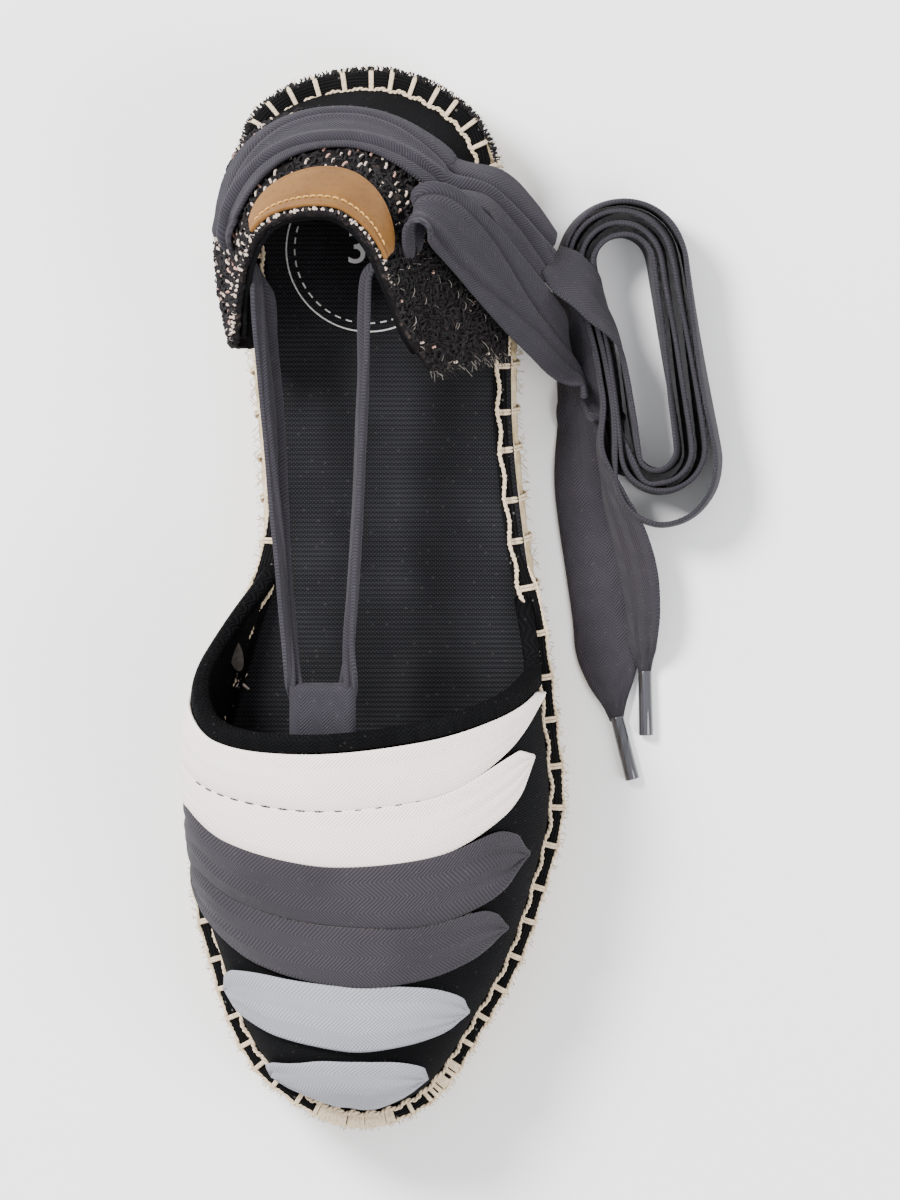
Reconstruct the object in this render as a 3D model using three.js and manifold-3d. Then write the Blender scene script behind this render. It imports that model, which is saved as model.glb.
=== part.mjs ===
// Espadrille for the left foot: a canvas vamp crossed by six ribbons, a soft heel counter, a jute sole
// and one long flat tie. Millimetres, +Z up, toe towards -Y, outer side of the foot towards +X.
// The origin lies on the floor under the middle of the heel seat.
import * as THREE from "three";
import { mergeVertices } from "three/addons/utils/BufferGeometryUtils.js";
import Module from "manifold-3d";

const wasm = await Module();
wasm.setup();

// Driving sizes
const LENGTH = 250;
const BALL_WIDTH = 87;
const HEEL_SEAT = 36;
const TOE_SPRING = 5;
const BALL_END = 0.77;
const WAIST_LIFT = 0.8;
const RUBBER = 3;
const RUBBER_INSET = 1.6;
const JUTE = 15.5;
const ROPE_COURSES = 3;
const ROPE_BULGE = 0.9;
const INSOLE = 1.6;
const INSOLE_INSET = 0.6;
const MARGIN = 3.4;
const CANVAS = 1.5;
const INSTEP = 36;
const COUNTER_HEIGHT = 44;
const TWEED = 1.6;
const LEATHER = 1.3;
const RIBBON = 0.8;
const BINDING = 0.9;
const BINDING_WIDTH = 3.6;
const TIE_WIDTH = 16;
const TIE_THICKNESS = 1.2;
const LOOP_WIDTH = 15.6;
const LOOP_LENGTH = 15;
const LOOP_TAPE = 1.1;
const AGLET_LENGTH = 15.5;
const AGLET_WIDTH = 3.6;
const GAP = 0.3;
const OVERLAY_GAP = 0.5;
const HALF = 36;
const ACROSS_STEPS = 26;
const VAMP_ROWS = 19;
const ROUND_STEPS = 30;

// Heights of the layers above the floor, before the toe spring
const JUTE_FLOOR = RUBBER + GAP;
const JUTE_TOP = JUTE_FLOOR + JUTE;
const INSOLE_FLOOR = JUTE_TOP + GAP;
const INSOLE_TOP = INSOLE_FLOOR + INSOLE;
const UPPER_FLOOR = INSOLE_TOP + GAP;

const table = (names, rows) => rows.map((row) => Object.fromEntries(names.map((name, i) => [name, row[i]])));

// Sides of the sole as shares of the ball width, along it from the heel at 0 to the toe at 1
const SOLE = table(
  ["along", "medial", "lateral"],
  [
    [0, 0, 0],
    [0.015, -0.213, 0.17],
    [0.045, -0.324, 0.281],
    [0.1, -0.359, 0.35],
    [0.21, -0.345, 0.392],
    [0.34, -0.31, 0.399],
    [0.45, -0.3, 0.432],
    [0.52, -0.359, 0.466],
    [0.6, -0.43, 0.496],
    [0.7, -0.48, 0.519],
    [0.78, -0.482, 0.466],
    [0.85, -0.435, 0.395],
    [0.91, -0.378, 0.298],
    [0.95, -0.308, 0.228],
    [0.98, -0.199, 0.148],
    [1, -0.028, -0.028],
  ],
);

// Cross-sections of the last: height as a share of the instep, place of its ridge across the foot,
// and how far each side swells beyond a plain arch, as shares of the instep
const LAST = table(
  ["along", "height", "ridge", "innerSwell", "outerSwell"],
  [
    [0.42, 1.32, 0.36, 0.2, 0.06],
    [0.55, 1.18, 0.36, 0.38, 0.06],
    [0.65, 1, 0.36, 0.34, 0.06],
    [0.75, 0.84, 0.39, 0.2, 0.06],
    [0.85, 0.69, 0.43, 0.09, 0.06],
    [0.92, 0.56, 0.46, 0.05, 0.05],
    [0.96, 0.44, 0.48, 0.03, 0.04],
    [0.985, 0.29, 0.5, 0.02, 0.02],
    [1, 0, 0.5, 0, 0],
  ],
);

// Edge of the throat: share of the way across from the inner to the outer side, and place along the last
const THROAT = table(
  ["across", "along"],
  [
    [0, 0.475],
    [0.05, 0.51],
    [0.12, 0.56],
    [0.2, 0.597],
    [0.3, 0.637],
    [0.45, 0.65],
    [0.62, 0.638],
    [0.75, 0.617],
    [0.87, 0.592],
    [0.95, 0.572],
    [1, 0.49],
  ],
);

// Ribbons on the vamp, each drawn to a point at both ends: places across the foot from its inner to its
// outer tip, with its upper and lower edge there as shares of the way from the throat to the toe
const ribbonEdges = (rows) => table(["across", "upper", "lower"], rows);
const RIBBONS = [
  {
    name: "ribbon_cream_1",
    colour: 0xe9e2da,
    edges: ribbonEdges([
      [0.07, 0.1, 0.13],
      [0.13, 0.06, 0.178],
      [0.2, 0.03, 0.164],
      [0.3, 0.008, 0.133],
      [0.5, 0.009, 0.155],
      [0.65, 0.009, 0.145],
      [0.77, 0.009, 0.088],
      [0.86, 0.009, 0.04],
      [0.92, 0.009, 0.018],
    ]),
  },
  {
    name: "ribbon_cream_2",
    colour: 0xe9e2da,
    edges: ribbonEdges([
      [0.07, 0.24, 0.29],
      [0.13, 0.203, 0.29],
      [0.2, 0.174, 0.262],
      [0.3, 0.143, 0.262],
      [0.5, 0.165, 0.309],
      [0.65, 0.156, 0.305],
      [0.76, 0.115, 0.24],
      [0.81, 0.108, 0.188],
      [0.84, 0.118, 0.148],
    ]),
  },
  {
    name: "ribbon_dark_1",
    colour: 0x4f4c50,
    edges: ribbonEdges([
      [0.07, 0.375, 0.405],
      [0.12, 0.312, 0.428],
      [0.2, 0.273, 0.41],
      [0.3, 0.273, 0.422],
      [0.5, 0.32, 0.472],
      [0.65, 0.317, 0.488],
      [0.75, 0.29, 0.459],
      [0.8, 0.314, 0.426],
      [0.84, 0.352, 0.374],
    ]),
  },
  {
    name: "ribbon_dark_2",
    colour: 0x4f4c50,
    edges: ribbonEdges([
      [0.09, 0.495, 0.52],
      [0.13, 0.442, 0.536],
      [0.2, 0.422, 0.56],
      [0.3, 0.433, 0.589],
      [0.5, 0.483, 0.638],
      [0.65, 0.5, 0.632],
      [0.75, 0.488, 0.597],
      [0.8, 0.512, 0.564],
      [0.83, 0.532, 0.548],
    ]),
  },
  {
    name: "ribbon_light_1",
    colour: 0xa8aaaf,
    edges: ribbonEdges([
      [0.1, 0.712, 0.735],
      [0.14, 0.688, 0.755],
      [0.2, 0.655, 0.765],
      [0.3, 0.628, 0.781],
      [0.5, 0.65, 0.816],
      [0.65, 0.667, 0.803],
      [0.75, 0.702, 0.78],
      [0.81, 0.733, 0.745],
    ]),
  },
  {
    name: "ribbon_light_2",
    colour: 0xa8aaaf,
    edges: ribbonEdges([
      [0.08, 0.905, 0.92],
      [0.14, 0.888, 0.94],
      [0.22, 0.875, 0.95],
      [0.4, 0.855, 0.957],
      [0.6, 0.86, 0.955],
      [0.7, 0.872, 0.94],
      [0.77, 0.892, 0.908],
    ]),
  },
];

// Top edge of the counter, from its inner front end round the heel to its outer front end:
// places as shares of the ball width and the length, height and swell as shares of the counter's height
const COUNTER = table(
  ["round", "topAcross", "topAlong", "topHeight", "swell"],
  [
    [0, -0.335, 0.258, 0.68, 0.06],
    [0.12, -0.325, 0.212, 0.78, 0.13],
    [0.25, -0.302, 0.179, 0.87, 0.13],
    [0.36, -0.262, 0.157, 0.94, 0.11],
    [0.45, -0.203, 0.149, 0.98, 0.09],
    [0.55, -0.115, 0.148, 1, 0.06],
    [0.65, -0.03, 0.162, 0.98, 0.04],
    [0.75, 0.034, 0.187, 0.94, 0.02],
    [0.85, 0.07, 0.211, 0.86, 0.02],
    [0.94, 0.115, 0.25, 0.76, 0.04],
    [1, 0.18, 0.28, 0.64, 0.05],
  ],
);
const COUNTER_REACH = 1.08;

// Smooth curve through one column of a table
function smooth(rows, key, column, at) {
  const end = rows.length - 1;
  let i = 0;
  while (i < end - 1 && at > rows[i + 1][key]) i += 1;
  const slope = (k) => {
    const before = rows[Math.max(k - 1, 0)];
    const after = rows[Math.min(k + 1, end)];
    return (after[column] - before[column]) / (after[key] - before[key]);
  };
  const span = rows[i + 1][key] - rows[i][key];
  const t = THREE.MathUtils.clamp((at - rows[i][key]) / span, 0, 1);
  const a = rows[i][column];
  const b = rows[i + 1][column];
  const rise = (2 * t - 3) * t * t;
  return a + (a - b) * rise + span * t * (1 - t) * ((1 - t) * slope(i) - t * slope(i + 1));
}

const lerp = THREE.MathUtils.lerp;
const bottomAlong = (y) => (HEEL_SEAT - y) / LENGTH;
const springAt = (y) => TOE_SPRING * Math.max(0, (bottomAlong(y) - BALL_END) / (1 - BALL_END)) ** 2;

// Outline of the sole: points from the heel along the inner side to the toe and back along the outer side
const soleTurns = SOLE.map((row) => ({ ...row, turn: Math.acos(1 - 2 * row.along) }));

function edgePoint(turn) {
  const side = turn <= Math.PI ? "medial" : "lateral";
  const folded = turn <= Math.PI ? turn : 2 * Math.PI - turn;
  const across = smooth(soleTurns, "turn", side, folded) * BALL_WIDTH;
  return new THREE.Vector2(across, HEEL_SEAT - (LENGTH * (1 - Math.cos(folded))) / 2);
}

const soleEdge = Array.from({ length: 2 * HALF }, (_, i) => edgePoint((i * Math.PI) / HALF));

const loops = new Map();

function edgeLoop(inset) {
  if (!loops.has(inset)) {
    const moved = soleEdge.map((point, i) => {
      const before = soleEdge[(i + 2 * HALF - 1) % (2 * HALF)];
      const after = soleEdge[(i + 1) % (2 * HALF)];
      const inward = new THREE.Vector2(before.y - after.y, after.x - before.x).normalize();
      return point.clone().addScaledVector(inward, inset);
    });
    loops.set(inset, moved);
  }
  return loops.get(inset);
}

// Point of a loop at a turn from the heel, positive along the inner side and negative along the outer side
function loopPoint(loop, turn) {
  const place = ((turn / Math.PI) * HALF + 2 * HALF) % (2 * HALF);
  const i = Math.floor(place);
  return loop[i].clone().lerp(loop[(i + 1) % (2 * HALF)], place - i);
}

function acrossAt(loop, y, side) {
  const step = side === "medial" ? 1 : -1;
  let i = 0;
  const next = (k) => (k + step + 2 * HALF) % (2 * HALF);
  while (i !== HALF + (side === "medial" ? -1 : 1) && loop[next(i)].y > y) i = next(i);
  const a = loop[i];
  const b = loop[next(i)];
  return lerp(a.x, b.x, THREE.MathUtils.clamp((a.y - y) / (a.y - b.y), 0, 1));
}

// Closed solid from vertices and faces, with merged vertices and its faces pointing out
function solid(points, faces) {
  const position = new Float32Array(points.flatMap((p) => [p.x, p.y, p.z]));
  const raw = new THREE.BufferGeometry();
  raw.setAttribute("position", new THREE.BufferAttribute(position, 3));
  raw.setIndex(faces.flat());
  return fromGeometry(raw);
}

function fromGeometry(geometry) {
  geometry.deleteAttribute("normal");
  geometry.deleteAttribute("uv");
  const merged = mergeVertices(geometry, 1e-4);
  const index = merged.index.array;
  const kept = [];
  for (let i = 0; i < index.length; i += 3) {
    const [a, b, c] = [index[i], index[i + 1], index[i + 2]];
    if (a !== b && b !== c && c !== a) kept.push([a, b, c]);
  }
  const build = (turned) =>
    new wasm.Manifold(
      new wasm.Mesh({
        numProp: 3,
        vertProperties: merged.attributes.position.array,
        triVerts: new Uint32Array(kept.flatMap(([a, b, c]) => (turned ? [a, c, b] : [a, b, c]))),
      }),
    );
  const made = build(false);
  return made.volume() < 0 ? build(true) : made;
}

// Solid between two loops' worth of rings, each ring lying at one height, closed across by rungs
function layer(rings) {
  const points = [];
  const faces = [];
  const count = 2 * HALF;
  rings.forEach(({ inset, height, lift }) => {
    edgeLoop(inset).forEach((p) => {
      const extra = lift ? lift(p.y) : 0;
      points.push(new THREE.Vector3(p.x, p.y, height + springAt(p.y) + extra));
    });
  });
  for (let r = 0; r < rings.length - 1; r += 1) {
    for (let i = 0; i < count; i += 1) {
      const a = r * count + i;
      const b = r * count + ((i + 1) % count);
      faces.push([a, b, b + count], [a, b + count, a + count]);
    }
  }
  const top = (rings.length - 1) * count;
  for (let i = 0; i < HALF; i += 1) {
    const a = i;
    const b = i + 1;
    const c = (count - i - 1) % count;
    const d = (count - i) % count;
    faces.push([a, c, b], [a, d, c]);
    faces.push([top + a, top + b, top + c], [top + a, top + c, top + d]);
  }
  return solid(points, faces);
}

// Slab between an inner and an outer surface, each a function of two shares from 0 to 1
function slab(rows, columns, inner, outer) {
  const points = [];
  const faces = [];
  const width = columns + 1;
  const size = (rows + 1) * width;
  [inner, outer].forEach((surface) => {
    for (let i = 0; i <= rows; i += 1) {
      for (let j = 0; j <= columns; j += 1) points.push(surface(i / rows, j / columns));
    }
  });
  const quad = (a, b, c, d) => faces.push([a, b, c], [a, c, d]);
  for (let i = 0; i < rows; i += 1) {
    for (let j = 0; j < columns; j += 1) {
      const a = i * width + j;
      quad(a, a + 1, a + width + 1, a + width);
      quad(size + a, size + a + width, size + a + width + 1, size + a + 1);
    }
  }
  for (let j = 0; j < columns; j += 1) {
    const far = rows * width + j;
    quad(j, size + j, size + j + 1, j + 1);
    quad(far, far + 1, size + far + 1, size + far);
  }
  for (let i = 0; i < rows; i += 1) {
    const near = i * width;
    const far = near + columns;
    quad(near, near + width, size + near + width, size + near);
    quad(far, size + far, size + far + width, far + width);
  }
  return solid(points, faces);
}

// Solid through rings of matching points, each end closed by the given quads of ring points
function sweep(rings, caps) {
  const count = rings[0].length;
  const faces = [];
  const quad = (a, b, c, d) => faces.push([a, b, c], [a, c, d]);
  for (let r = 0; r < rings.length - 1; r += 1) {
    for (let i = 0; i < count; i += 1) {
      const j = (i + 1) % count;
      quad(r * count + i, r * count + j, (r + 1) * count + j, (r + 1) * count + i);
    }
  }
  const far = (rings.length - 1) * count;
  caps.forEach(([a, b, c, d]) => {
    quad(d, c, b, a);
    quad(far + a, far + b, far + c, far + d);
  });
  return solid(rings.flat(), faces);
}

function box(fromY, toY) {
  const geometry = new THREE.BoxGeometry(4 * BALL_WIDTH, Math.abs(toY - fromY), 4 * BALL_WIDTH);
  geometry.translate(0, (fromY + toY) / 2, 0);
  return fromGeometry(geometry);
}

// Point of the upper's surface: place along the last, turn over the foot from the inner side, lift off it
function lastPoint(along, turn, lift) {
  const loop = edgeLoop(MARGIN + CANVAS - lift);
  const y = lerp(loop[0].y, loop[HALF].y, along);
  const medial = acrossAt(loop, y, "medial");
  const lateral = acrossAt(loop, y, "lateral");
  const ridge = lerp(medial, lateral, smooth(LAST, "along", "ridge", along));
  const fade = Math.sqrt(THREE.MathUtils.clamp((1 - along) / 0.03, 0, 1));
  const rise = smooth(LAST, "along", "height", along) * INSTEP + lift * fade;
  const inner = turn < Math.PI / 2;
  const swell = smooth(LAST, "along", inner ? "innerSwell" : "outerSwell", along) * INSTEP;
  const reach = inner ? ridge - medial : lateral - ridge;
  const out = reach * Math.abs(Math.cos(turn)) + swell * Math.abs(Math.sin(2 * turn));
  const x = inner ? ridge - out : ridge + out;
  return new THREE.Vector3(x, y, UPPER_FLOOR + springAt(y) + rise * Math.sin(turn));
}

// Point of the vamp: 0 at the throat and 1 at the toe, then the share across
function vampPoint(down, across, lift) {
  const start = smooth(THROAT, "across", "along", across);
  return lastPoint(start + (1 - start) * down, across * Math.PI, lift);
}

// Ring that follows the sole's edge, its section given by insets and heights
function hoop(section) {
  const count = 2 * HALF;
  const points = section.flatMap(({ inset, height }) =>
    edgeLoop(inset).map((p) => new THREE.Vector3(p.x, p.y, height + springAt(p.y))),
  );
  const faces = [];
  section.forEach((_, r) => {
    const next = ((r + 1) % section.length) * count;
    for (let i = 0; i < count; i += 1) {
      const j = (i + 1) % count;
      faces.push([r * count + i, r * count + j, next + j], [r * count + i, next + j, next + i]);
    }
  });
  return solid(points, faces);
}

// Stitched margin of the upper, turned out over the sole's edge
const margin = hoop([
  { inset: INSOLE_INSET, height: UPPER_FLOOR },
  { inset: MARGIN + CANVAS, height: UPPER_FLOOR },
  { inset: MARGIN + CANVAS, height: UPPER_FLOOR + CANVAS },
  { inset: INSOLE_INSET + 0.4, height: UPPER_FLOOR + CANVAS },
]);
const alongToY = (along) => HEEL_SEAT - along * LENGTH;
const VAMP_FROM = 0.478;
const COUNTER_TO = 0.262;

function makeOutsole() {
  const arch = (y) => {
    const share = THREE.MathUtils.clamp((bottomAlong(y) - 0.34) / 0.24, 0, 1);
    return WAIST_LIFT * Math.sin(share * Math.PI) ** 2;
  };
  return layer([
    { inset: RUBBER_INSET + 0.6, height: 0, lift: arch },
    { inset: RUBBER_INSET, height: 0.6, lift: arch },
    { inset: RUBBER_INSET, height: RUBBER },
  ]);
}

// Three courses of braided rope, each swelling out and drawn in at its seams
function makeMidsole() {
  const course = JUTE / ROPE_COURSES;
  const rings = [{ inset: RUBBER_INSET + 0.4, height: JUTE_FLOOR }];
  for (let c = 0; c < ROPE_COURSES; c += 1) {
    [0.24, 0.76].forEach((share) => {
      const inset = ROPE_BULGE * (1 - Math.sin(share * Math.PI));
      rings.push({ inset, height: JUTE_FLOOR + (c + share) * course });
    });
    rings.push({ inset: ROPE_BULGE * (c + 1 < ROPE_COURSES ? 1 : 1.6), height: JUTE_FLOOR + (c + 1) * course });
  }
  return layer(rings);
}

function makeInsole() {
  return layer([
    { inset: INSOLE_INSET, height: INSOLE_FLOOR },
    { inset: INSOLE_INSET, height: INSOLE_FLOOR + 0.9 },
    { inset: INSOLE_INSET + 1, height: INSOLE_TOP },
  ]);
}

// How far the binding reaches up from the throat line, as a share of the way down the vamp
function bindingShare(across, width) {
  return -width / ((1 - smooth(THROAT, "across", "along", across)) * LENGTH);
}

function makeVamp() {
  const sheet = (lift) => (a, b) => {
    const start = bindingShare(b, BINDING_WIDTH - BINDING - GAP);
    return vampPoint(lerp(start, 1, Math.sin((a * Math.PI) / 2)), b, lift);
  };
  const wall = slab(VAMP_ROWS, ACROSS_STEPS, sheet(0), sheet(CANVAS));
  return wall.add(margin.intersect(box(alongToY(VAMP_FROM), alongToY(1.1))));
}

// Webbing folded over the throat's edge: a U-shaped section of width and lift, swept across the foot
function makeBinding() {
  const outer = CANVAS + GAP;
  const fold = BINDING_WIDTH - BINDING;
  const section = [
    [0, outer],
    [0, outer + BINDING],
    [BINDING_WIDTH, outer + BINDING],
    [BINDING_WIDTH, -GAP - BINDING],
    [0, -GAP - BINDING],
    [0, -GAP],
    [fold, -GAP],
    [fold, outer],
  ];
  const rings = Array.from({ length: ACROSS_STEPS - 1 }, (_, j) => {
    const across = (j + 1) / ACROSS_STEPS;
    return section.map(([width, lift]) => vampPoint(bindingShare(across, width), across, lift));
  });
  return sweep(rings, [[0, 1, 2, 7], [7, 2, 3, 6], [6, 3, 4, 5]]);
}

// Flat ribbon laid across the vamp
function makeRibbon({ edges }) {
  const sheet = (lift) => (a, b) => {
    const across = lerp(edges[0].across, edges[edges.length - 1].across, b);
    const upper = smooth(edges, "across", "upper", across);
    const lower = smooth(edges, "across", "lower", across);
    return vampPoint(lerp(upper, lower, a), across, lift);
  };
  return slab(2, 24, sheet(CANVAS + OVERLAY_GAP), sheet(CANVAS + OVERLAY_GAP + RIBBON));
}

// Point of the counter: share round the heel, share up from the sole, lift off its inner face
function counterMiddle(round, up) {
  const turn = COUNTER_REACH * (1 - 2 * round);
  const base = loopPoint(edgeLoop(MARGIN + CANVAS), turn);
  const outward = loopPoint(edgeLoop(0), turn).sub(loopPoint(edgeLoop(1), turn)).normalize();
  const read = (column) => smooth(COUNTER, "round", column, round);
  const swell = read("swell") * COUNTER_HEIGHT * Math.sin(up * Math.PI);
  const x = lerp(base.x, read("topAcross") * BALL_WIDTH, up) + outward.x * swell;
  const y = lerp(base.y, alongToY(read("topAlong")), up) + outward.y * swell;
  return new THREE.Vector3(x, y, UPPER_FLOOR + up * read("topHeight") * COUNTER_HEIGHT);
}

function counterPoint(round, up, lift) {
  const step = 0.01;
  const middle = counterMiddle(round, up);
  const onward = counterMiddle(round + step, up).sub(counterMiddle(round - step, up));
  const upward = counterMiddle(round, up + step).sub(counterMiddle(round, up - step));
  const point = middle.addScaledVector(upward.cross(onward).normalize(), lift);
  point.z = Math.max(point.z, UPPER_FLOOR);
  return point;
}

const tweedLift = CANVAS + OVERLAY_GAP;
const tabLift = tweedLift + TWEED + GAP;

function makeCounter() {
  const sheet = (lift) => (a, b) => counterPoint(a, b, lift);
  const wall = slab(ROUND_STEPS, 8, sheet(0), sheet(CANVAS));
  return wall.add(margin.intersect(box(alongToY(COUNTER_TO), alongToY(-0.1))));
}

// Tweed band over the counter, cut higher at the back than at its two wings
function makeTweed() {
  const sheet = (lift) => (a, b) => {
    const low = lerp(0.14, 0.3, Math.sin(a * Math.PI) ** 1.5);
    return counterPoint(a, lerp(low, 1, b), lift);
  };
  return slab(ROUND_STEPS, 4, sheet(tweedLift), sheet(tweedLift + TWEED));
}

function makeTab() {
  const sheet = (lift) => (a, b) => {
    const low = lerp(0.93, 0.76, Math.sin(a * Math.PI) ** 0.7);
    return counterPoint(lerp(0.32, 0.73, a), lerp(low, 0.975, b), lift);
  };
  return slab(16, 3, sheet(tabLift), sheet(tabLift + LEATHER));
}

// Flat strip through rows of a middle point, the direction of its width and its width
function strip(rows, thickness) {
  const rings = rows.map(({ middle, wide, width }, i) => {
    const before = rows[Math.max(i - 1, 0)].middle;
    const after = rows[Math.min(i + 1, rows.length - 1)].middle;
    const onward = after.clone().sub(before).normalize();
    const across = wide.clone().addScaledVector(onward, -wide.dot(onward)).normalize();
    const up = onward.clone().cross(across);
    const corner = (a, b) =>
      middle.clone().addScaledVector(across, a * width).addScaledVector(up, b * thickness);
    return [corner(-0.5, -0.5), corner(0.5, -0.5), corner(0.5, 0.5), corner(-0.5, 0.5)];
  });
  return sweep(rings, [[0, 1, 2, 3]]);
}

// Loop of tape sewn under the throat's edge, where the tie turns round
const LOOP_ACROSS = 0.475;
const LOOP_SEWN = 3;
const LOOP_DROP = 2.5;
const throatEdge = vampPoint(0, LOOP_ACROSS, -GAP - BINDING);
const loopRoom = TIE_THICKNESS + 4 * GAP;
const loopMiddle = new THREE.Vector3(
  throatEdge.x,
  throatEdge.y + BINDING_WIDTH + LOOP_LENGTH / 2 - LOOP_SEWN,
  throatEdge.z - LOOP_DROP - loopRoom,
);

function makeLoop() {
  const ring = (length, height) => {
    const shape = new THREE.Shape();
    const side = (length - height) / 2;
    shape.absarc(side, 0, height / 2, -Math.PI / 2, Math.PI / 2, false);
    shape.absarc(-side, 0, height / 2, Math.PI / 2, (3 * Math.PI) / 2, false);
    return shape;
  };
  const outline = ring(LOOP_LENGTH, loopRoom + 2 * LOOP_TAPE);
  outline.holes.push(ring(LOOP_LENGTH - 2 * LOOP_TAPE, loopRoom));
  const geometry = new THREE.ExtrudeGeometry(outline, { depth: LOOP_WIDTH, bevelEnabled: false, curveSegments: 5 });
  geometry.translate(0, 0, -LOOP_WIDTH / 2);
  const basis = new THREE.Matrix4().makeBasis(
    new THREE.Vector3(0, 1, 0),
    new THREE.Vector3(0, 0, 1),
    new THREE.Vector3(1, 0, 0),
  );
  geometry.applyMatrix4(basis.setPosition(loopMiddle));
  return fromGeometry(geometry);
}

// Half of the tie: from the middle of the throat loop to a slit near the counter's top and out through it
const wrapLift = tabLift + TIE_THICKNESS / 2;
const insideLift = -GAP - TIE_THICKNESS;

function onCounter(round, up, lift, share) {
  const wide = counterPoint(round, up + 0.05, lift).sub(counterPoint(round, up - 0.05, lift)).normalize();
  return { middle: counterPoint(round, up, lift), wide, width: share * TIE_WIDTH };
}

function inAir({ x, y, z, wideX, wideY, wideZ, share }) {
  const wide = new THREE.Vector3(wideX, wideY, wideZ).normalize();
  return { middle: new THREE.Vector3(x, y, z), wide, width: share * TIE_WIDTH };
}

// The tie's two slits: place on the counter, way forward along it, side of the foot, and the point inside
// where the strand to the throat loop begins
const INNER_SLIT = { round: 0.2, up: 0.8, forward: -1, side: -1, inside: [-25.5, -17, 50.5] };
const OUTER_SLIT = { round: 0.8, up: 0.78, forward: 1, side: 1, inside: [-1, -15, 49] };
const SLIT_ROOM = 1;
const SLIT_DEPTH = 1.4;
const STRAND_SAG = 4;
const STRAND_LEAN = 0.35;
const LOOP_REACH = 1.8;
const loopSide = (side) => loopMiddle.x + side * (LOOP_WIDTH / 2 + LOOP_REACH);

// Rows of the tie on its way through a slit, from the outside to the inside
function crossing({ round, up, forward }) {
  return [
    onCounter(round - forward * 0.035, up, wrapLift + GAP, 0.6),
    onCounter(round - forward * 0.012, up, tweedLift + TWEED / 2, 0.5),
    onCounter(round + forward * 0.012, up, 0, 0.5),
    onCounter(round + forward * 0.03, up, insideLift - SLIT_DEPTH, 0.45),
  ];
}

function strand(slit) {
  const { side, inside } = slit;
  const end = new THREE.Vector3(loopSide(side), loopMiddle.y, loopMiddle.z);
  const first = new THREE.Vector3(...inside);
  const rows = crossing(slit);
  [0, 0.2, 0.4, 0.6, 0.8, 0.93].forEach((share) => {
    const p = first.clone().lerp(end, share);
    p.z -= STRAND_SAG * Math.sin(Math.PI * share);
    rows.push(inAir({ ...p, wideX: STRAND_LEAN * side, wideY: 0, wideZ: 1, share: lerp(0.75, 0.55, share) }));
  });
  rows.push(inAir({ ...end, y: end.y - TIE_THICKNESS, wideX: 0, wideY: 0, wideZ: 1, share: 0.4 }));
  return rows;
}

// Tie on the inner side: out through the slit, round the back of the counter and off its outer side
const WRAP = table(
  ["round", "up", "share"],
  [
    [0.24, 0.78, 0.6],
    [0.29, 0.72, 0.8],
    [0.35, 0.62, 0.95],
    [0.42, 0.54, 1],
    [0.5, 0.5, 1],
    [0.58, 0.48, 1],
    [0.66, 0.46, 1],
    [0.73, 0.42, 1],
  ],
);
const WRAP_FROM = 0.255;
const WRAP_TO = 0.72;
const WRAP_STEPS = 18;
const WRAP_RISE = 1.6;

// Ways of the two halves from the counter down to the hank: middle, direction of the width and its share
const WAY = ["x", "y", "z", "wideX", "wideY", "wideZ", "share"];
const INNER_WAY = table(WAY, [
  [28, 7, 38.5, -0.5, -0.3, 0.8, 1],
  [35.5, 0, 31, -0.5, -0.3, 0.8, 1],
  [42.4, -8.5, 22.8, -0.4, -0.3, 0.85, 1],
]);
const OUTER_WAY = table(WAY, [
  [11, 1.5, 60, -0.35, -0.6, 0.5, 0.8],
  [16.5, 1, 57, -0.45, -0.7, 0.4, 1],
  [23, -5, 50.5, -0.6, -0.75, 0.3, 1],
  [30, -13, 41, -0.6, -0.75, 0.3, 1],
  [36.5, -20.5, 32, -0.6, -0.7, 0.45, 1],
  [41.5, -26, 24, -0.45, -0.5, 0.6, 1],
  [46, -31.5, 13.5, -0.25, -0.3, 0.85, 1],
  [49, -36, 9.4, 0, 0, 1, 1],
  [50.4, -41.5, 8.8, 0, 0, 1, 1],
]);

function innerRoute() {
  const wrapped = Array.from({ length: WRAP_STEPS + 1 }, (_, i) => {
    const round = lerp(WRAP_FROM, WRAP_TO, i / WRAP_STEPS);
    const read = (column) => smooth(WRAP, "round", column, round);
    const rise = WRAP_RISE * (i / WRAP_STEPS) ** 4;
    return onCounter(round, read("up"), wrapLift + 0.2 + rise, read("share"));
  });
  return [...[...wrapped, ...INNER_WAY.map(inAir)].reverse(), ...strand(INNER_SLIT)];
}

// Tie on the outer side: out through the slit, up over the wing in an arch and down past the sole
const outerRoute = () => [...OUTER_WAY.map(inAir).reverse(), ...strand(OUTER_SLIT)];

function makeTie() {
  const { y, z } = loopMiddle;
  const turn = [-1, 1].map((side) => {
    const x = loopSide(side) + side * TIE_THICKNESS;
    return inAir({ x, y, z, wideX: 0, wideY: 1, wideZ: 0, share: 0.45 });
  });
  const halves = [innerRoute(), outerRoute()].map((rows) => strip(rows, TIE_THICKNESS));
  return halves[0].add(halves[1]).add(strip(turn, TIE_THICKNESS));
}

// Slit that the tie goes through, cut through the counter and its tweed
function makeSlit(slit) {
  const rows = crossing(slit).map((row) => ({ ...row, width: row.width + 2 * SLIT_ROOM }));
  return strip(rows, TIE_THICKNESS + 2 * SLIT_ROOM);
}

// Free end of the tie: a hank standing on its edge, two loose ends and their plastic tips
const HANK_TOP = { x: 59.6, y: -9.5, radius: 13.4 };
const HANK_FOOT = { x: 67.5, y: -54, radius: 12.5 };
const HANK_WALL = 7.6;

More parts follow.
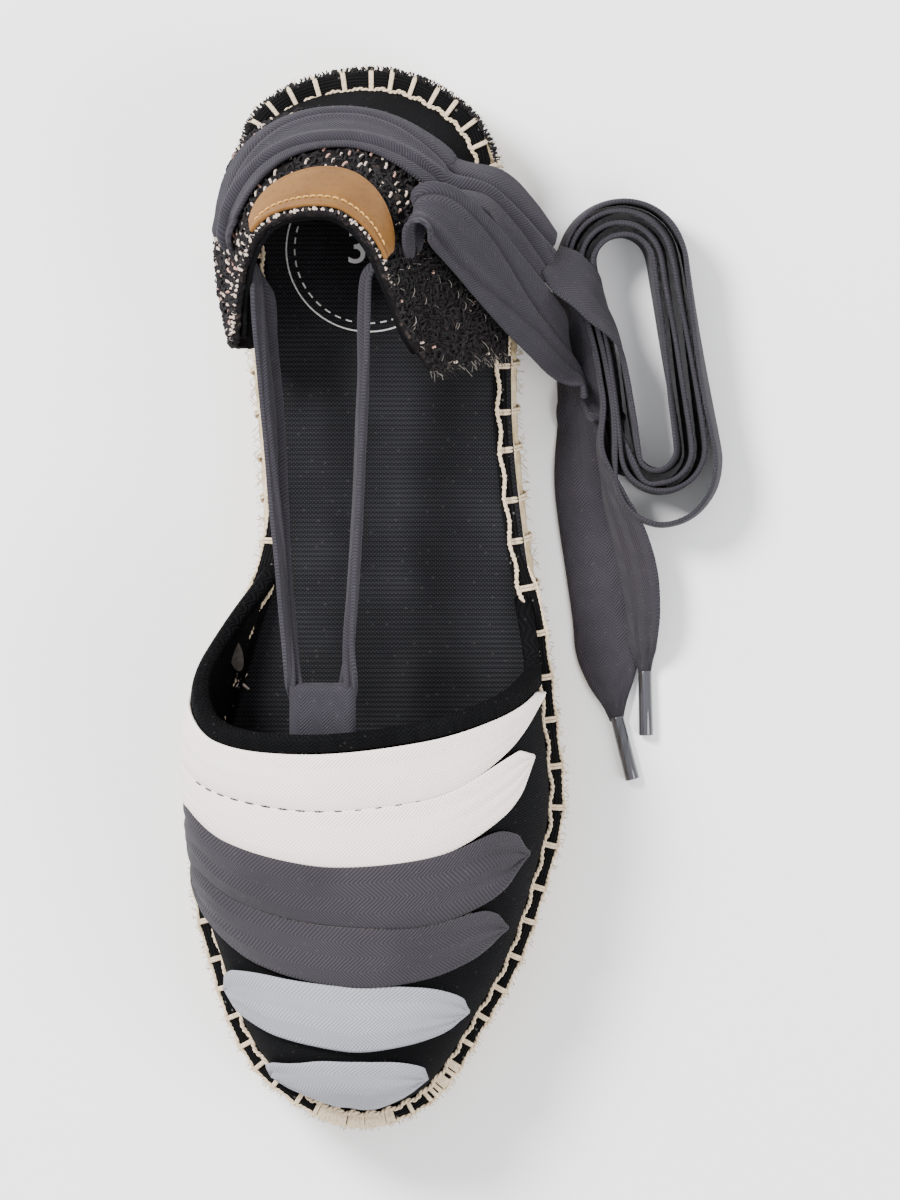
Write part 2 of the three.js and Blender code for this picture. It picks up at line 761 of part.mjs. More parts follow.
function makeHank() {
  const track = (shrink) => {
    const shape = new THREE.Shape();
    const lean = Math.atan2(HANK_TOP.y - HANK_FOOT.y, HANK_TOP.x - HANK_FOOT.x);
    const cap = (end, from) => shape.absarc(end.x, end.y, end.radius - shrink, from, from + Math.PI, false);
    cap(HANK_TOP, lean - Math.PI / 2);
    cap(HANK_FOOT, lean + Math.PI / 2);
    return shape;
  };
  const outline = track(0);
  outline.holes.push(track(HANK_WALL));
  return fromGeometry(
    new THREE.ExtrudeGeometry(outline, { depth: TIE_WIDTH, bevelEnabled: false, curveSegments: 9 }),
  );
}

// Loose ends, flat on the floor: middle, share of the tape's width and the plastic tip's place and lean
const FLOOR_GAP = 0.05;
const END = ["x", "y", "share"];
const TIE_ENDS = [
  {
    rows: table(END, [
      [49.7, -61.5, 0.8],
      [52.5, -76, 0.85],
      [55, -90, 0.85],
      [56, -102, 0.85],
      [56.8, -110, 0.6],
      [58, -116.5, 0.22],
    ]),
    aglet: { x: 58.1, y: -117, lean: 0.25 },
  },
  {
    rows: table(END, [
      [66.2, -67.2, 0.35],
      [67.5, -80, 0.45],
      [68, -90, 0.45],
      [67, -99, 0.4],
      [65, -105.5, 0.22],
    ]),
    aglet: { x: 64.9, y: -106, lean: 0.02 },
  },
];

function makeEnd(rows) {
  const z = TIE_THICKNESS / 2 + FLOOR_GAP;
  return strip(rows.map((row) => inAir({ ...row, z, wideX: 1, wideY: 0.12, wideZ: 0 })), TIE_THICKNESS);
}

function makeAglet({ x, y, lean }) {
  const radius = AGLET_WIDTH / 2;
  const geometry = new THREE.CylinderGeometry(radius, radius, AGLET_LENGTH, 12);
  geometry.translate(0, -AGLET_LENGTH / 2 - GAP, 0);
  geometry.rotateZ(lean);
  geometry.translate(x, y, radius + FLOOR_GAP);
  return fromGeometry(geometry);
}

const shoe = new THREE.Group();

function place(name, made, colour, roughness) {
  const { vertProperties, triVerts } = made.getMesh();
  const geometry = new THREE.BufferGeometry();
  geometry.setAttribute("position", new THREE.BufferAttribute(vertProperties, 3));
  geometry.setIndex(new THREE.BufferAttribute(triVerts, 1));
  geometry.computeVertexNormals();
  const mesh = new THREE.Mesh(geometry, new THREE.MeshStandardMaterial({ color: colour, roughness, metalness: 0 }));
  mesh.name = name;
  shoe.add(mesh);
}

const COLOUR = {
  rubber: 0xb9a98c,
  jute: 0xcdbf9f,
  canvas: 0x1c1d20,
  tweed: 0x2b2826,
  leather: 0xb98d5e,
  tape: 0x504d52,
  plastic: 0x6a686c,
};
const CLOTH_ROUGHNESS = 0.9;

place("rubber_outsole", makeOutsole(), COLOUR.rubber, 0.8);
place("jute_midsole", makeMidsole(), COLOUR.jute, CLOTH_ROUGHNESS);
place("insole", makeInsole(), COLOUR.canvas, CLOTH_ROUGHNESS);
place("vamp", makeVamp(), COLOUR.canvas, CLOTH_ROUGHNESS);
place("throat_binding", makeBinding(), COLOUR.canvas, CLOTH_ROUGHNESS);
RIBBONS.forEach((ribbon) => place(ribbon.name, makeRibbon(ribbon), ribbon.colour, CLOTH_ROUGHNESS));
const slits = makeSlit(INNER_SLIT).add(makeSlit(OUTER_SLIT));
place("heel_counter", makeCounter().subtract(slits), COLOUR.canvas, CLOTH_ROUGHNESS);
place("heel_tweed", makeTweed().subtract(slits), COLOUR.tweed, CLOTH_ROUGHNESS);
place("heel_tab", makeTab(), COLOUR.leather, 0.6);
place("throat_loop", makeLoop(), COLOUR.tape, CLOTH_ROUGHNESS);
place("tie", makeTie(), COLOUR.tape, CLOTH_ROUGHNESS);
place("tie_hank", makeHank(), COLOUR.tape, CLOTH_ROUGHNESS);
TIE_ENDS.forEach(({ rows, aglet }, i) => {
  place(`tie_end_${i + 1}`, makeEnd(rows), COLOUR.tape, CLOTH_ROUGHNESS);
  place(`aglet_${i + 1}`, makeAglet(aglet), COLOUR.plastic, 0.3);
});

export default shoe;
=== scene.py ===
# %% [markdown]
# An espadrille for the left foot, seen from straight above: a black canvas vamp crossed by six twill
# ribbons, a heel counter covered in flecked tweed, a braided jute sole with a blanket stitch round its
# edge, and one long flat tie whose free length is wound into a hank on the floor.
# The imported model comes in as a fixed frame. Each visible piece is made finer round it.

# %% The frame
import random
from math import acos, atan2, ceil, cos, exp, pi, sin, sqrt

import bmesh
import bpy
from mathutils import Matrix, Vector, noise


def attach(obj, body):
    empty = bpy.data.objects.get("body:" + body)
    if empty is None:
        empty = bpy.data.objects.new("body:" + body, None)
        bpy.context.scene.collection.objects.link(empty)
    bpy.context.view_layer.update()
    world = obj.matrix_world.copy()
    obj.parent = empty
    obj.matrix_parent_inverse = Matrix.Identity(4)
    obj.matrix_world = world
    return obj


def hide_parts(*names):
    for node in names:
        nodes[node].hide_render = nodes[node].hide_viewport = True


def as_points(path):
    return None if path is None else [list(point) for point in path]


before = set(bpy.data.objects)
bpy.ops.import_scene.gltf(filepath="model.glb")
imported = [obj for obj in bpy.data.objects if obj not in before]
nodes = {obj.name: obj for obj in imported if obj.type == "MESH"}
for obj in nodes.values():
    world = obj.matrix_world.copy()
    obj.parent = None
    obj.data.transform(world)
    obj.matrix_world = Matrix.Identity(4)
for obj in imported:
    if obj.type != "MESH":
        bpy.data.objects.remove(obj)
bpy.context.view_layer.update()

MM = 0.001
uniform = random.uniform
print("nodes in the frame:", len(nodes))

# %% [markdown]
# The photograph looks straight down from far away, heel at the top: the soles' sides hardly show. A long
# lens high above the middle of the shoe and its tie gives that view.

# %% Camera
FIELD = 0.286
CAMERA_HEIGHT = 5.0
SENSOR = 36.0
VIEW_CENTRE = Vector((0.0185, -0.0895, 0.0))


def new_object(name, data):
    thing = bpy.data.objects.new(name, data)
    bpy.context.collection.objects.link(thing)
    return thing


camera_data = bpy.data.cameras.new("camera")
camera_data.lens = SENSOR * CAMERA_HEIGHT / FIELD
camera = new_object("camera", camera_data)
camera.location = VIEW_CENTRE + Vector((0, 0, CAMERA_HEIGHT))
bpy.context.scene.camera = camera
print("lens", round(camera_data.lens, 1), "mm at", CAMERA_HEIGHT, "m")

# %% [markdown]
# A product photograph on pale paper: one soft light from the upper left, a weaker one from the right, and
# a bright room that fills the shadows.

# %% Light and floor


def soft_light(name, place, size, watts):
    data = bpy.data.lights.new(name, "AREA")
    data.shape = "DISK"
    data.size = size
    data.energy = watts
    lamp = new_object(name, data)
    lamp.location = place
    lamp.rotation_euler = (VIEW_CENTRE - Vector(place)).to_track_quat("-Z", "Y").to_euler()


soft_light("key", (-0.75, 0.55, 1.1), 0.5, 52)
soft_light("fill", (0.9, -0.6, 1.0), 0.9, 17)
world = bpy.data.worlds.new("studio")
world.use_nodes = True
room = world.node_tree.nodes["Background"].inputs
room["Color"].default_value = (0.93, 0.94, 0.96, 1)
room["Strength"].default_value = 1.4
bpy.context.scene.world = world


def finished_mesh(name, maker):
    mesh = bpy.data.meshes.new(name)
    maker.to_mesh(mesh)
    maker.free()
    return new_object(name, mesh)


maker = bmesh.new()
bmesh.ops.create_grid(maker, x_segments=8, y_segments=8, size=1.6)
paper = finished_mesh("paper", maker)
print("lights and paper are in")

# %% [markdown]
# Shared surface effects are node groups: the ribs of a weave, straight, slanted or in herringbone, and the
# cloudy unevenness of handled cloth. Each gives masks from 0 to 1 that a material mixes its two colours by
# and feeds to its bump.

# %% Node groups and a material maker
YARN = 0.9
LINT_RADIUS = 0.13
finishes = {}


def put(tree, kind, values, **settings):
    """A new node with its settings and its inputs, each a value or a socket to link; gives its outputs."""
    node = tree.nodes.new("ShaderNode" + kind)
    for label, setting in settings.items():
        setattr(node, label, setting)
    for label, value in values.items():
        if isinstance(value, bpy.types.NodeSocket):
            tree.links.new(value, node.inputs[label])
        else:
            node.inputs[label].default_value = value
    return node.outputs


def calculate(tree, operation, *values, clamp=False):
    return put(tree, "Math", dict(enumerate(values)), operation=operation, use_clamp=clamp)[0]


def group(name, inputs, outputs):
    """A node group of a vector and some numbers, with the ends of its links inside."""
    tree = bpy.data.node_groups.new(name, "ShaderNodeTree")
    tree.interface.new_socket("Vector", in_out="INPUT", socket_type="NodeSocketVector")
    for label, value in inputs.items():
        socket = tree.interface.new_socket(label, in_out="INPUT", socket_type="NodeSocketFloat")
        socket.default_value = value
    for label in outputs:
        tree.interface.new_socket(label, in_out="OUTPUT", socket_type="NodeSocketFloat")
    return tree, tree.nodes.new("NodeGroupInput").outputs, tree.nodes.new("NodeGroupOutput").inputs


def twill_group():
    """Ribs of a weave, in millimetres: u across the tape, v along it. Slant is 0 for ribs straight across
    and 1 for a herringbone, whose ribs turn round at every column's middle."""
    tree, given, out = group("twill", {"Rib": 0.8, "Column": 6.0, "Slant": 1.0}, ("Ribs", "Yarns"))

    def take(operation, *values):
        return calculate(tree, operation, *values)

    place = put(tree, "SeparateXYZ", {0: given["Vector"]})
    u, v = place["X"], place["Y"]
    slanted = take("MULTIPLY", take("PINGPONG", u, given["Column"]), given["Slant"])
    phase = take("DIVIDE", take("ADD", slanted, v), given["Rib"])
    ribs = take("MULTIPLY", take("SINE", take("MULTIPLY", phase, 2 * pi)), 0.5)
    tree.links.new(take("ADD", ribs, 0.5), out["Ribs"])
    waves = [take("SINE", take("MULTIPLY", way, 2 * pi / YARN)) for way in (v, u)]
    tree.links.new(take("MULTIPLY", *waves), out["Yarns"])
    return tree


def cloud_group():
    """Cloudy unevenness of handled cloth and the lint that lies on it."""
    tree, given, out = group("handled cloth", {"Scale": 60.0}, ("Clouds", "Lint"))
    clouds = put(tree, "TexNoise", {"Detail": 4, "Vector": given["Vector"], "Scale": given["Scale"]})
    tree.links.new(clouds["Fac"], out["Clouds"])
    dots = put(tree, "TexVoronoi", {"Scale": 420, "Vector": given["Vector"]})
    tree.links.new(calculate(tree, "LESS_THAN", dots["Distance"], LINT_RADIUS), out["Lint"])
    return tree


def linear(red, green, blue):
    """Linear colour of an sRGB one given from 0 to 255."""
    shares = [c / 255 for c in (red, green, blue)]
    turned = [c / 12.92 if c <= 0.04045 else ((c + 0.055) / 1.055) ** 2.4 for c in shares]
    return (*turned, 1.0)


class Finish:
    """One material: a Principled shader with helpers that mix its colour and add to its bump."""

    def __init__(self, name, colour, roughness, sheen=0.0, specular=0.25):
        self.name = name
        self.material = bpy.data.materials.new(name)
        self.material.use_nodes = True
        self.tree = self.material.node_tree
        self.shader = self.tree.nodes["Principled BSDF"].inputs
        self.colour, self.normal = linear(*colour), None
        self.set("Base Color", self.colour)
        self.set("Roughness", roughness)
        self.set("Sheen Weight", sheen)
        self.set("Specular IOR Level", specular)
        place = put(self.tree, "TexCoord", {})
        self.object_place, self.uv = place["Object"], place["UV"]

    def set(self, label, value):
        self.shader[label].default_value = value

    def use(self, tree, **values):
        return put(self.tree, "Group", values, node_tree=tree)

    def drawn_out(self, factors):
        """Place on the object times a factor along each axis."""
        return put(self.tree, "VectorMath", {0: self.object_place, 1: factors}, operation="MULTIPLY")[0]

    def ramp(self, mask, low, high):
        return put(self.tree, "MapRange", {"Value": mask, "From Min": low, "From Max": high})["Result"]

    def noise(self, scale, detail=3.0, place=None):
        values = {"Scale": scale, "Detail": detail, "Vector": place or self.object_place}
        return put(self.tree, "TexNoise", values)["Fac"]

    def tint(self, mask, colour, amount):
        share = calculate(self.tree, "MULTIPLY", mask, amount, clamp=True)
        values = {"Factor": share, "A": self.colour, "B": linear(*colour)}
        self.colour = put(self.tree, "Mix", values, data_type="RGBA")["Result"]

    def mottle(self, scale, detail, low, high, colour, amount):
        """Spots of another colour by a noise between two of its levels."""
        self.tint(self.ramp(self.noise(scale, detail), low, high), colour, amount)

    def bump(self, height, depth, strength):
        values = {"Strength": strength, "Distance": depth * MM, "Height": height}
        if self.normal:
            values["Normal"] = self.normal
        self.normal = put(self.tree, "Bump", values)["Normal"]

    def done(self):
        for label, socket in (("Base Color", self.colour), ("Normal", self.normal)):
            if isinstance(socket, bpy.types.NodeSocket):
                self.tree.links.new(socket, self.shader[label])
        finishes[self.name] = self.material


twill, cloud = twill_group(), cloud_group()
print("node groups:", twill.name, "and", cloud.name)

# %% [markdown]
# Every layer follows one last: the outline of the sole, the arch of the foot over it and the curve of the
# counter round the heel. The sizes are the solid model's, in millimetres, in a table for each curve.

# %% The last
LENGTH = 250
BALL_WIDTH = 87
HEEL_SEAT = 36
JUTE_FLOOR = 3.3
JUTE = 15.5
INSOLE_TOP = 20.7
UPPER_FLOOR = 21.0
MARGIN = 3.4
CANVAS = 1.5
INSTEP = 36
COUNTER_HEIGHT = 44
TWEED = 1.6
RIBBON = 0.8
BINDING = 0.9
BINDING_WIDTH = 3.6
TAPE_WIDTH = 16
TAPE = 1.2

SOLE_ROWS = [
    (0, 0, 0), (0.015, -0.213, 0.17), (0.045, -0.324, 0.281), (0.1, -0.359, 0.35),
    (0.21, -0.345, 0.392), (0.34, -0.31, 0.399), (0.45, -0.3, 0.432), (0.52, -0.359, 0.466),
    (0.6, -0.43, 0.496), (0.7, -0.48, 0.519), (0.78, -0.482, 0.466), (0.85, -0.435, 0.395),
    (0.91, -0.378, 0.298), (0.95, -0.308, 0.228), (0.98, -0.199, 0.148), (1, -0.028, -0.028),
]
LAST_ROWS = [
    (0.42, 1.32, 0.36, 0.2, 0.06), (0.55, 1.18, 0.36, 0.38, 0.06), (0.65, 1, 0.36, 0.34, 0.06),
    (0.75, 0.84, 0.39, 0.2, 0.06), (0.85, 0.69, 0.43, 0.09, 0.06), (0.92, 0.56, 0.46, 0.05, 0.05),
    (0.96, 0.44, 0.48, 0.03, 0.04), (0.985, 0.29, 0.5, 0.02, 0.02), (1, 0, 0.5, 0, 0),
]
THROAT_ROWS = [
    (0, 0.475), (0.05, 0.51), (0.12, 0.56), (0.2, 0.597), (0.3, 0.637), (0.45, 0.65),
    (0.62, 0.638), (0.75, 0.617), (0.87, 0.592), (0.95, 0.572), (1, 0.49),
]
COUNTER_ROWS = [
    (0, -0.335, 0.258, 0.68, 0.06), (0.12, -0.325, 0.212, 0.78, 0.13), (0.25, -0.302, 0.179, 0.87, 0.13),
    (0.36, -0.262, 0.157, 0.94, 0.11), (0.45, -0.203, 0.149, 0.98, 0.09), (0.55, -0.115, 0.148, 1, 0.06),
    (0.65, -0.03, 0.162, 0.98, 0.04), (0.75, 0.034, 0.187, 0.94, 0.02), (0.85, 0.07, 0.211, 0.86, 0.02),
    (0.94, 0.115, 0.25, 0.76, 0.04), (1, 0.18, 0.28, 0.64, 0.05),
]
COUNTER_REACH = 1.08
HALF = 120


def lerp(a, b, share):
    return a + (b - a) * share


def clamp(value, low=0.0, high=1.0):
    return max(low, min(high, value))


def smooth(rows, column, at):
    """Smooth curve through one column of a table, read by its first column."""
    end = len(rows) - 1
    i = 0
    while i < end - 1 and at > rows[i + 1][0]:
        i += 1

    def slope(k):
        before, after = rows[max(k - 1, 0)], rows[min(k + 1, end)]
        return (after[column] - before[column]) / (after[0] - before[0])

    span = rows[i + 1][0] - rows[i][0]
    t = clamp((at - rows[i][0]) / span)
    a, b = rows[i][column], rows[i + 1][column]
    rise = (2 * t - 3) * t * t
    return a + (a - b) * rise + span * t * (1 - t) * ((1 - t) * slope(i) - t * slope(i + 1))


def spring(y):
    along = (HEEL_SEAT - y) / LENGTH
    return 5 * max(0, (along - 0.77) / 0.23) ** 2


SOLE_TURNS = [(acos(1 - 2 * along), medial, lateral) for along, medial, lateral in SOLE_ROWS]


def edge_point(turn):
    """Point of the sole's edge: turn 0 at the heel, pi at the toe, the inner side first."""
    side = 1 if turn <= pi else 2
    folded = turn if turn <= pi else 2 * pi - turn
    return Vector((smooth(SOLE_TURNS, side, folded) * BALL_WIDTH, HEEL_SEAT - LENGTH * (1 - cos(folded)) / 2))


SOLE_EDGE = [edge_point(i * pi / HALF) for i in range(2 * HALF)]
LOOPS = {}


def edge_loop(inset):
    key = round(inset, 3)
    if key not in LOOPS:
        moved = []
        for i, point in enumerate(SOLE_EDGE):
            before, after = SOLE_EDGE[i - 1], SOLE_EDGE[(i + 1) % (2 * HALF)]
            inward = Vector((before.y - after.y, after.x - before.x)).normalized()
            moved.append(point + inward * inset)
        LOOPS[key] = moved
    return LOOPS[key]


def loop_point(inset, turn):
    loop = edge_loop(inset)
    place = (turn / pi * HALF) % (2 * HALF)
    i = int(place)
    return loop[i].lerp(loop[(i + 1) % (2 * HALF)], place - i)


def across_at(inset, y, side):
    """How far out the loop lies at y, on the inner (side 1) or outer side (side -1)."""
    loop = edge_loop(inset)
    low, high = 0, HALF
    while high - low > 1:
        middle = (low + high) // 2
        if loop[(side * middle) % (2 * HALF)].y > y:
            low = middle
        else:
            high = middle
    a, b = loop[(side * low) % (2 * HALF)], loop[(side * high) % (2 * HALF)]
    return lerp(a.x, b.x, clamp((a.y - y) / (a.y - b.y))) if a.y != b.y else a.x


def last_point(along, turn, lift):
    """Point of the upper: place along the last, turn over the foot from the inner side, lift off it."""
    inset = MARGIN + CANVAS - lift
    loop = edge_loop(inset)
    y = lerp(loop[0].y, loop[HALF].y, along)
    medial, lateral = across_at(inset, y, 1), across_at(inset, y, -1)
    ridge = lerp(medial, lateral, smooth(LAST_ROWS, 2, along))
    fade = sqrt(clamp((1 - along) / 0.03))
    rise = smooth(LAST_ROWS, 1, along) * INSTEP + lift * fade
    inner = turn < pi / 2
    swell = smooth(LAST_ROWS, 3 if inner else 4, along) * INSTEP
    reach = ridge - medial if inner else lateral - ridge
    out = reach * abs(cos(turn)) + swell * abs(sin(2 * turn))
    return Vector((ridge - out if inner else ridge + out, y, UPPER_FLOOR + spring(y) + rise * sin(turn)))


def vamp_point(down, across, lift):
    start = smooth(THROAT_ROWS, 1, across)
    return last_point(start + (1 - start) * down, across * pi, lift)


def counter_middle(where, up):
    turn = COUNTER_REACH * (1 - 2 * where)
    base = loop_point(MARGIN + CANVAS, turn)
    outward = (loop_point(0, turn) - loop_point(1, turn)).normalized()
    swell = smooth(COUNTER_ROWS, 4, where) * COUNTER_HEIGHT * sin(up * pi)
    x = lerp(base.x, smooth(COUNTER_ROWS, 1, where) * BALL_WIDTH, up) + outward.x * swell
    slump = clamp((where - 0.56) / 0.22) * up**2
    x -= 3.4 * slump
    y = lerp(base.y, HEEL_SEAT - smooth(COUNTER_ROWS, 2, where) * LENGTH, up) + outward.y * swell - 1.6 * slump
    return Vector((x, y, UPPER_FLOOR + up * smooth(COUNTER_ROWS, 3, where) * COUNTER_HEIGHT))


def counter_point(where, up, lift):
    step = 0.01
    onward = counter_middle(where + step, up) - counter_middle(where - step, up)
    upward = counter_middle(where, up + step) - counter_middle(where, up - step)
    point = counter_middle(where, up) + upward.cross(onward).normalized() * lift
    point.z = max(point.z, UPPER_FLOOR)
    return point


print("toe tip at", [round(c, 1) for c in last_point(1, pi / 2, CANVAS)])

# %% [markdown]
# Cloth, tape and leather start as a flat grid, like cut cloth, whose points are laid on the last one by
# one. Its texture coordinates keep the flat cut's millimetres, so that a weave runs with the cloth in its
# real size. A Solidify modifier gives the thickness.

# %% Cloth cut flat and laid on the last


def laid_cloth(name, columns, rows, place, size, thickness, node, smoothing=0):
    """Cloth laid by place(u, v). The size of the flat cut is a pair or again a function of u and v."""
    maker = bmesh.new()
    bmesh.ops.create_grid(maker, x_segments=columns, y_segments=rows, size=1)
    uv = maker.loops.layers.uv.new("UVMap")
    for face in maker.faces:
        for loop in face.loops:
            u, v = (loop.vert.co.x + 1) / 2, (loop.vert.co.y + 1) / 2
            loop[uv].uv = size(u, v) if callable(size) else (u * size[0], v * size[1])
    for vert in maker.verts:
        vert.co = place((vert.co.x + 1) / 2, (vert.co.y + 1) / 2) * MM
    for face in maker.faces:
        face.smooth = True
    bmesh.ops.remove_doubles(maker, verts=maker.verts, dist=0.00002)
    thing = finished_mesh(name, maker)
    wall = thing.modifiers.new("thickness", "SOLIDIFY")
    wall.thickness = thickness * MM
    wall.offset = 0
    if smoothing:
        fine = thing.modifiers.new("smooth", "SUBSURF")
        fine.levels = fine.render_levels = smoothing
    return settle(thing, node)


def settle(thing, node=None):
    """The piece rides on the shoe and stands for its node, whose parts it hides."""
    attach(thing, "root")
    for each in [node] if isinstance(node, str) else node or []:
        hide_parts(each)
    return thing


def trough(distance, width):
    """Depth from 0 to 1 of a soft trough at a distance from its middle."""
    return exp(-((distance / width) ** 2))


def as_mesh(name, curve):
    """A curve or a word turned into a mesh of the same shape."""
    drawn = new_object(name + ".line", curve)
    bpy.context.view_layer.update()
    made = bpy.data.meshes.new_from_object(drawn.evaluated_get(bpy.context.evaluated_depsgraph_get()))
    bpy.data.objects.remove(drawn)
    return new_object(name, made)


def thread(name, paths, radius, sides=1, cyclic=False):
    """Threads as curves with a round section, one spline for each path of points in millimetres."""
    curve = bpy.data.curves.new(name, "CURVE")
    curve.dimensions = "3D"
    curve.bevel_depth = radius * MM
    curve.bevel_resolution = sides
    curve.use_fill_caps = not cyclic
    for path in paths:
        spline = curve.splines.new("POLY")
        spline.points.add(len(path) - 1)
        for target, point in zip(spline.points, path):
            target.co = (*(Vector(point) * MM), 1)
        spline.use_cyclic_u = cyclic
        spline.use_smooth = True
    return settle(as_mesh(name, curve), None)


print("cloth is ready to cut")

# %% [markdown]
# The tie is one flat twill tape. Both its free lengths leave the counter, meet in a hank that stands on its
# edge on the floor, and end flat, each drawn into a clear plastic tip. A route gives the middle of the
# tape, the way of its width and the share of its width there.

# %% A tape along a route


def route(table):
    return [(Vector(each[:3]), Vector(each[3:6]).normalized(), (*each, 1.0)[6]) for each in table]


def smooth_route(rows, step=1.3):
    """Rows of a route, made smooth and evenly spaced."""
    fine = []
    for i in range(len(rows) - 1):
        before, here = rows[max(i - 1, 0)], rows[i]
        there, after = rows[i + 1], rows[min(i + 2, len(rows) - 1)]
        parts = max(2, ceil((there[0] - here[0]).length / step))
        for k in range(parts):
            t = k / parts
            mixed = []
            for b, h, th, a in zip(before, here, there, after):
                mixed.append(
                    h + (th - b) * (0.5 * t) + (b - h * 2.5 + th * 2 - a * 0.5) * t**2
                    + ((h - th) * 1.5 + (a - b) * 0.5) * t**3
                )
            fine.append(mixed)
    return fine + [list(rows[-1])]


def lay_tape(name, rows, node, folds=0.0):
    """A tape along a route, with its full-width part and that part's length."""
    fine = smooth_route(rows)
    frames, length = [], 0.0
    for i, (middle, wide, share) in enumerate(fine):
        onward = (fine[min(i + 1, len(fine) - 1)][0] - fine[max(i - 1, 0)][0]).normalized()
        across = (wide - onward * wide.dot(onward)).normalized()
        if i:
            length += (middle - fine[i - 1][0]).length
        frames.append((middle, across, onward.cross(across), share, length))

    def place(u, v):
        middle, across, up, share, at = frames[round(v * (len(frames) - 1))]
        arch = 0.35 * (1 - (2 * u - 1) ** 2) + (1 - share) * 0.9 * (1 + cos((u - 0.5) * 4 * pi))
        sway = 0.25 * noise.noise(Vector((at * 0.06, u * 1.5, len(name))))
        shift = 0.12 * sin(at * 0.07)
        sway -= folds * (trough(u - 0.3 - shift, 0.05) + 0.8 * trough(u - 0.72 + shift, 0.045))
        sway += 0.5 * folds * (trough(u - 0.4 - shift, 0.07) + trough(u - 0.62 + shift, 0.06))
        return middle + across * ((u - 0.5) * TAPE_WIDTH * share) + up * (arch * min(1, share * 1.5) + sway)

    def size(u, v):
        return u * TAPE_WIDTH, frames[round(v * (len(frames) - 1))][4]

    columns = 26 if folds else 6
    thing = laid_cloth(name, columns, len(frames) - 1, place, size, TAPE, node, 1)
    full = [each[0] * MM for each in frames if each[3] > 0.72]
    return thing, full, frames[len(full) - 1][4] * MM


# %% Where the two lengths run
HANK_TOP, HANK_TOP_RADIUS = Vector((59.6, -9.5)), 12.8
HANK_FOOT, HANK_FOOT_RADIUS = Vector((67.5, -54)), 11.9
HANK_LEFT = Vector((-0.9846, -0.1748))
HANK_MIDDLE = 8.15


def hank_point(turns, inward):
    """Point of the hank's track: turns counted down the left leg and up the right one."""
    quarter, share = int(turns % 1 * 4), turns % 1 * 4 % 1
    lean = atan2(HANK_LEFT.y, HANK_LEFT.x)
    if quarter % 2 == 0:
        down = share if quarter == 0 else 1 - share
        side = 1 if quarter == 0 else -1
        radius = lerp(HANK_TOP_RADIUS, HANK_FOOT_RADIUS, down) - inward
        return HANK_TOP.lerp(HANK_FOOT, down) + HANK_LEFT * (side * radius)
    centre, radius = (HANK_FOOT, HANK_FOOT_RADIUS) if quarter == 1 else (HANK_TOP, HANK_TOP_RADIUS)
    angle = lean + pi * (share if quarter == 1 else 1 + share)
    return centre + Vector((cos(angle), sin(angle))) * (radius - inward)


def wound(table, first, last, steps):
    rows = []
    for i in range(steps + 1):
        turns = lerp(first, last, i / steps)
        p = hank_point(turns, smooth(table, 1, turns))
        lean = 0.1 * sin(turns * 9 + first * 20)
        rows.append((p.x, p.y, HANK_MIDDLE, lean * HANK_LEFT.x, lean * HANK_LEFT.y, 1))
    return rows


first_inward = [(0.2, 8.0), (0.5, 6.8), (0.75, 6.2), (1.0, 5.9), (1.12, 6.0), (1.25, 4.0), (1.5, 0.9),
                (1.75, 0.5), (2.0, 0.4), (2.1, 1.9), (2.2, 1.2)]
second_inward = [(0.3, 4.4), (0.5, 3.9), (0.75, 3.4), (1.0, 3.1), (1.12, 3.9), (1.25, 1.6), (1.37, -5.6),
                 (1.5, -2.4), (1.75, -1.8), (1.97, -1.9)]
first_route = route([
    (42.4, -8.5, 22.8, -0.4, -0.3, 0.85), (46.4, -12, 22.4, -0.62, -0.35, 0.7),
    (51.5, -16.5, 20.6, -0.5, -0.2, 0.8), (56, -22.5, 15.5, -0.2, 0, 1), (59.3, -30, 10.2, 0, 0, 1),
    *wound(first_inward, 0.2, 2.18, 54),
    (54.2, -54, 8.3, 0.1, 0, 1), (57.2, -64, 7.9, 0.35, 0, 0.9), (60.6, -73, 6.4, 0.5, 0.1, 0.8),
    (63, -83, 5.4, 0.62, 0, 0.7, 0.95), (64.2, -92, 4.9, 0.6, 0, 0.7, 0.85), (64.6, -99, 3.8, 0.6, 0, 0.6, 0.6),
    (64.8, -103.5, 2.4, 0.8, 0, 0.4, 0.3), (64.9, -107, 1.85, 1, 0, 0.1, 0.18),
])
second_route = route([
    (50.4, -41.5, 8.8, 0, 0, 1), (51.2, -45.5, 5.0, 0.7, 0.3, 0.5), (54, -50, 1.4, 0.8, 0.6, 0.1),
    (58, -54.5, 7.0, 0.4, 0.3, 0.8),
    *wound(second_inward, 0.33, 1.97, 46),
    (44.7, -14.5, 8.2, 0.14, 0, 0.98), (46.3, -21, 7.8, 0.4, 0, 0.9), (48.1, -29, 6.9, 0.58, 0, 0.8),
    (49.2, -38, 6.4, 0.64, 0, 0.76), (49.8, -47, 5.6, 0.7, 0, 0.7), (50.4, -55, 4.2, 0.84, 0.05, 0.5),
    (51.2, -63, 2.2, 0.97, 0.08, 0.2), (52.4, -72, 0.9, 1, 0.12, 0), (54.2, -84, 0.8, 1, 0.14, 0),
    (55.6, -94, 0.8, 1, 0.12, 0), (56.2, -102, 0.85, 1, 0.12, 0, 0.97), (56.9, -109, 1.0, 1, 0.16, 0, 0.7),
    (57.7, -114.5, 1.5, 1, 0.2, 0, 0.36), (58.2, -118.5, 1.85, 1, 0.25, 0, 0.18),
])
first_length, first_path, first_metres = lay_tape("tie_length_1", first_route, ["tie_hank", "tie_end_2"])
second_length, second_path, second_metres = lay_tape("tie_length_2", second_route, ["tie_hank", "tie_end_1"])
print("free lengths of the tie:", round(first_metres, 3), "m and", round(second_metres, 3), "m")

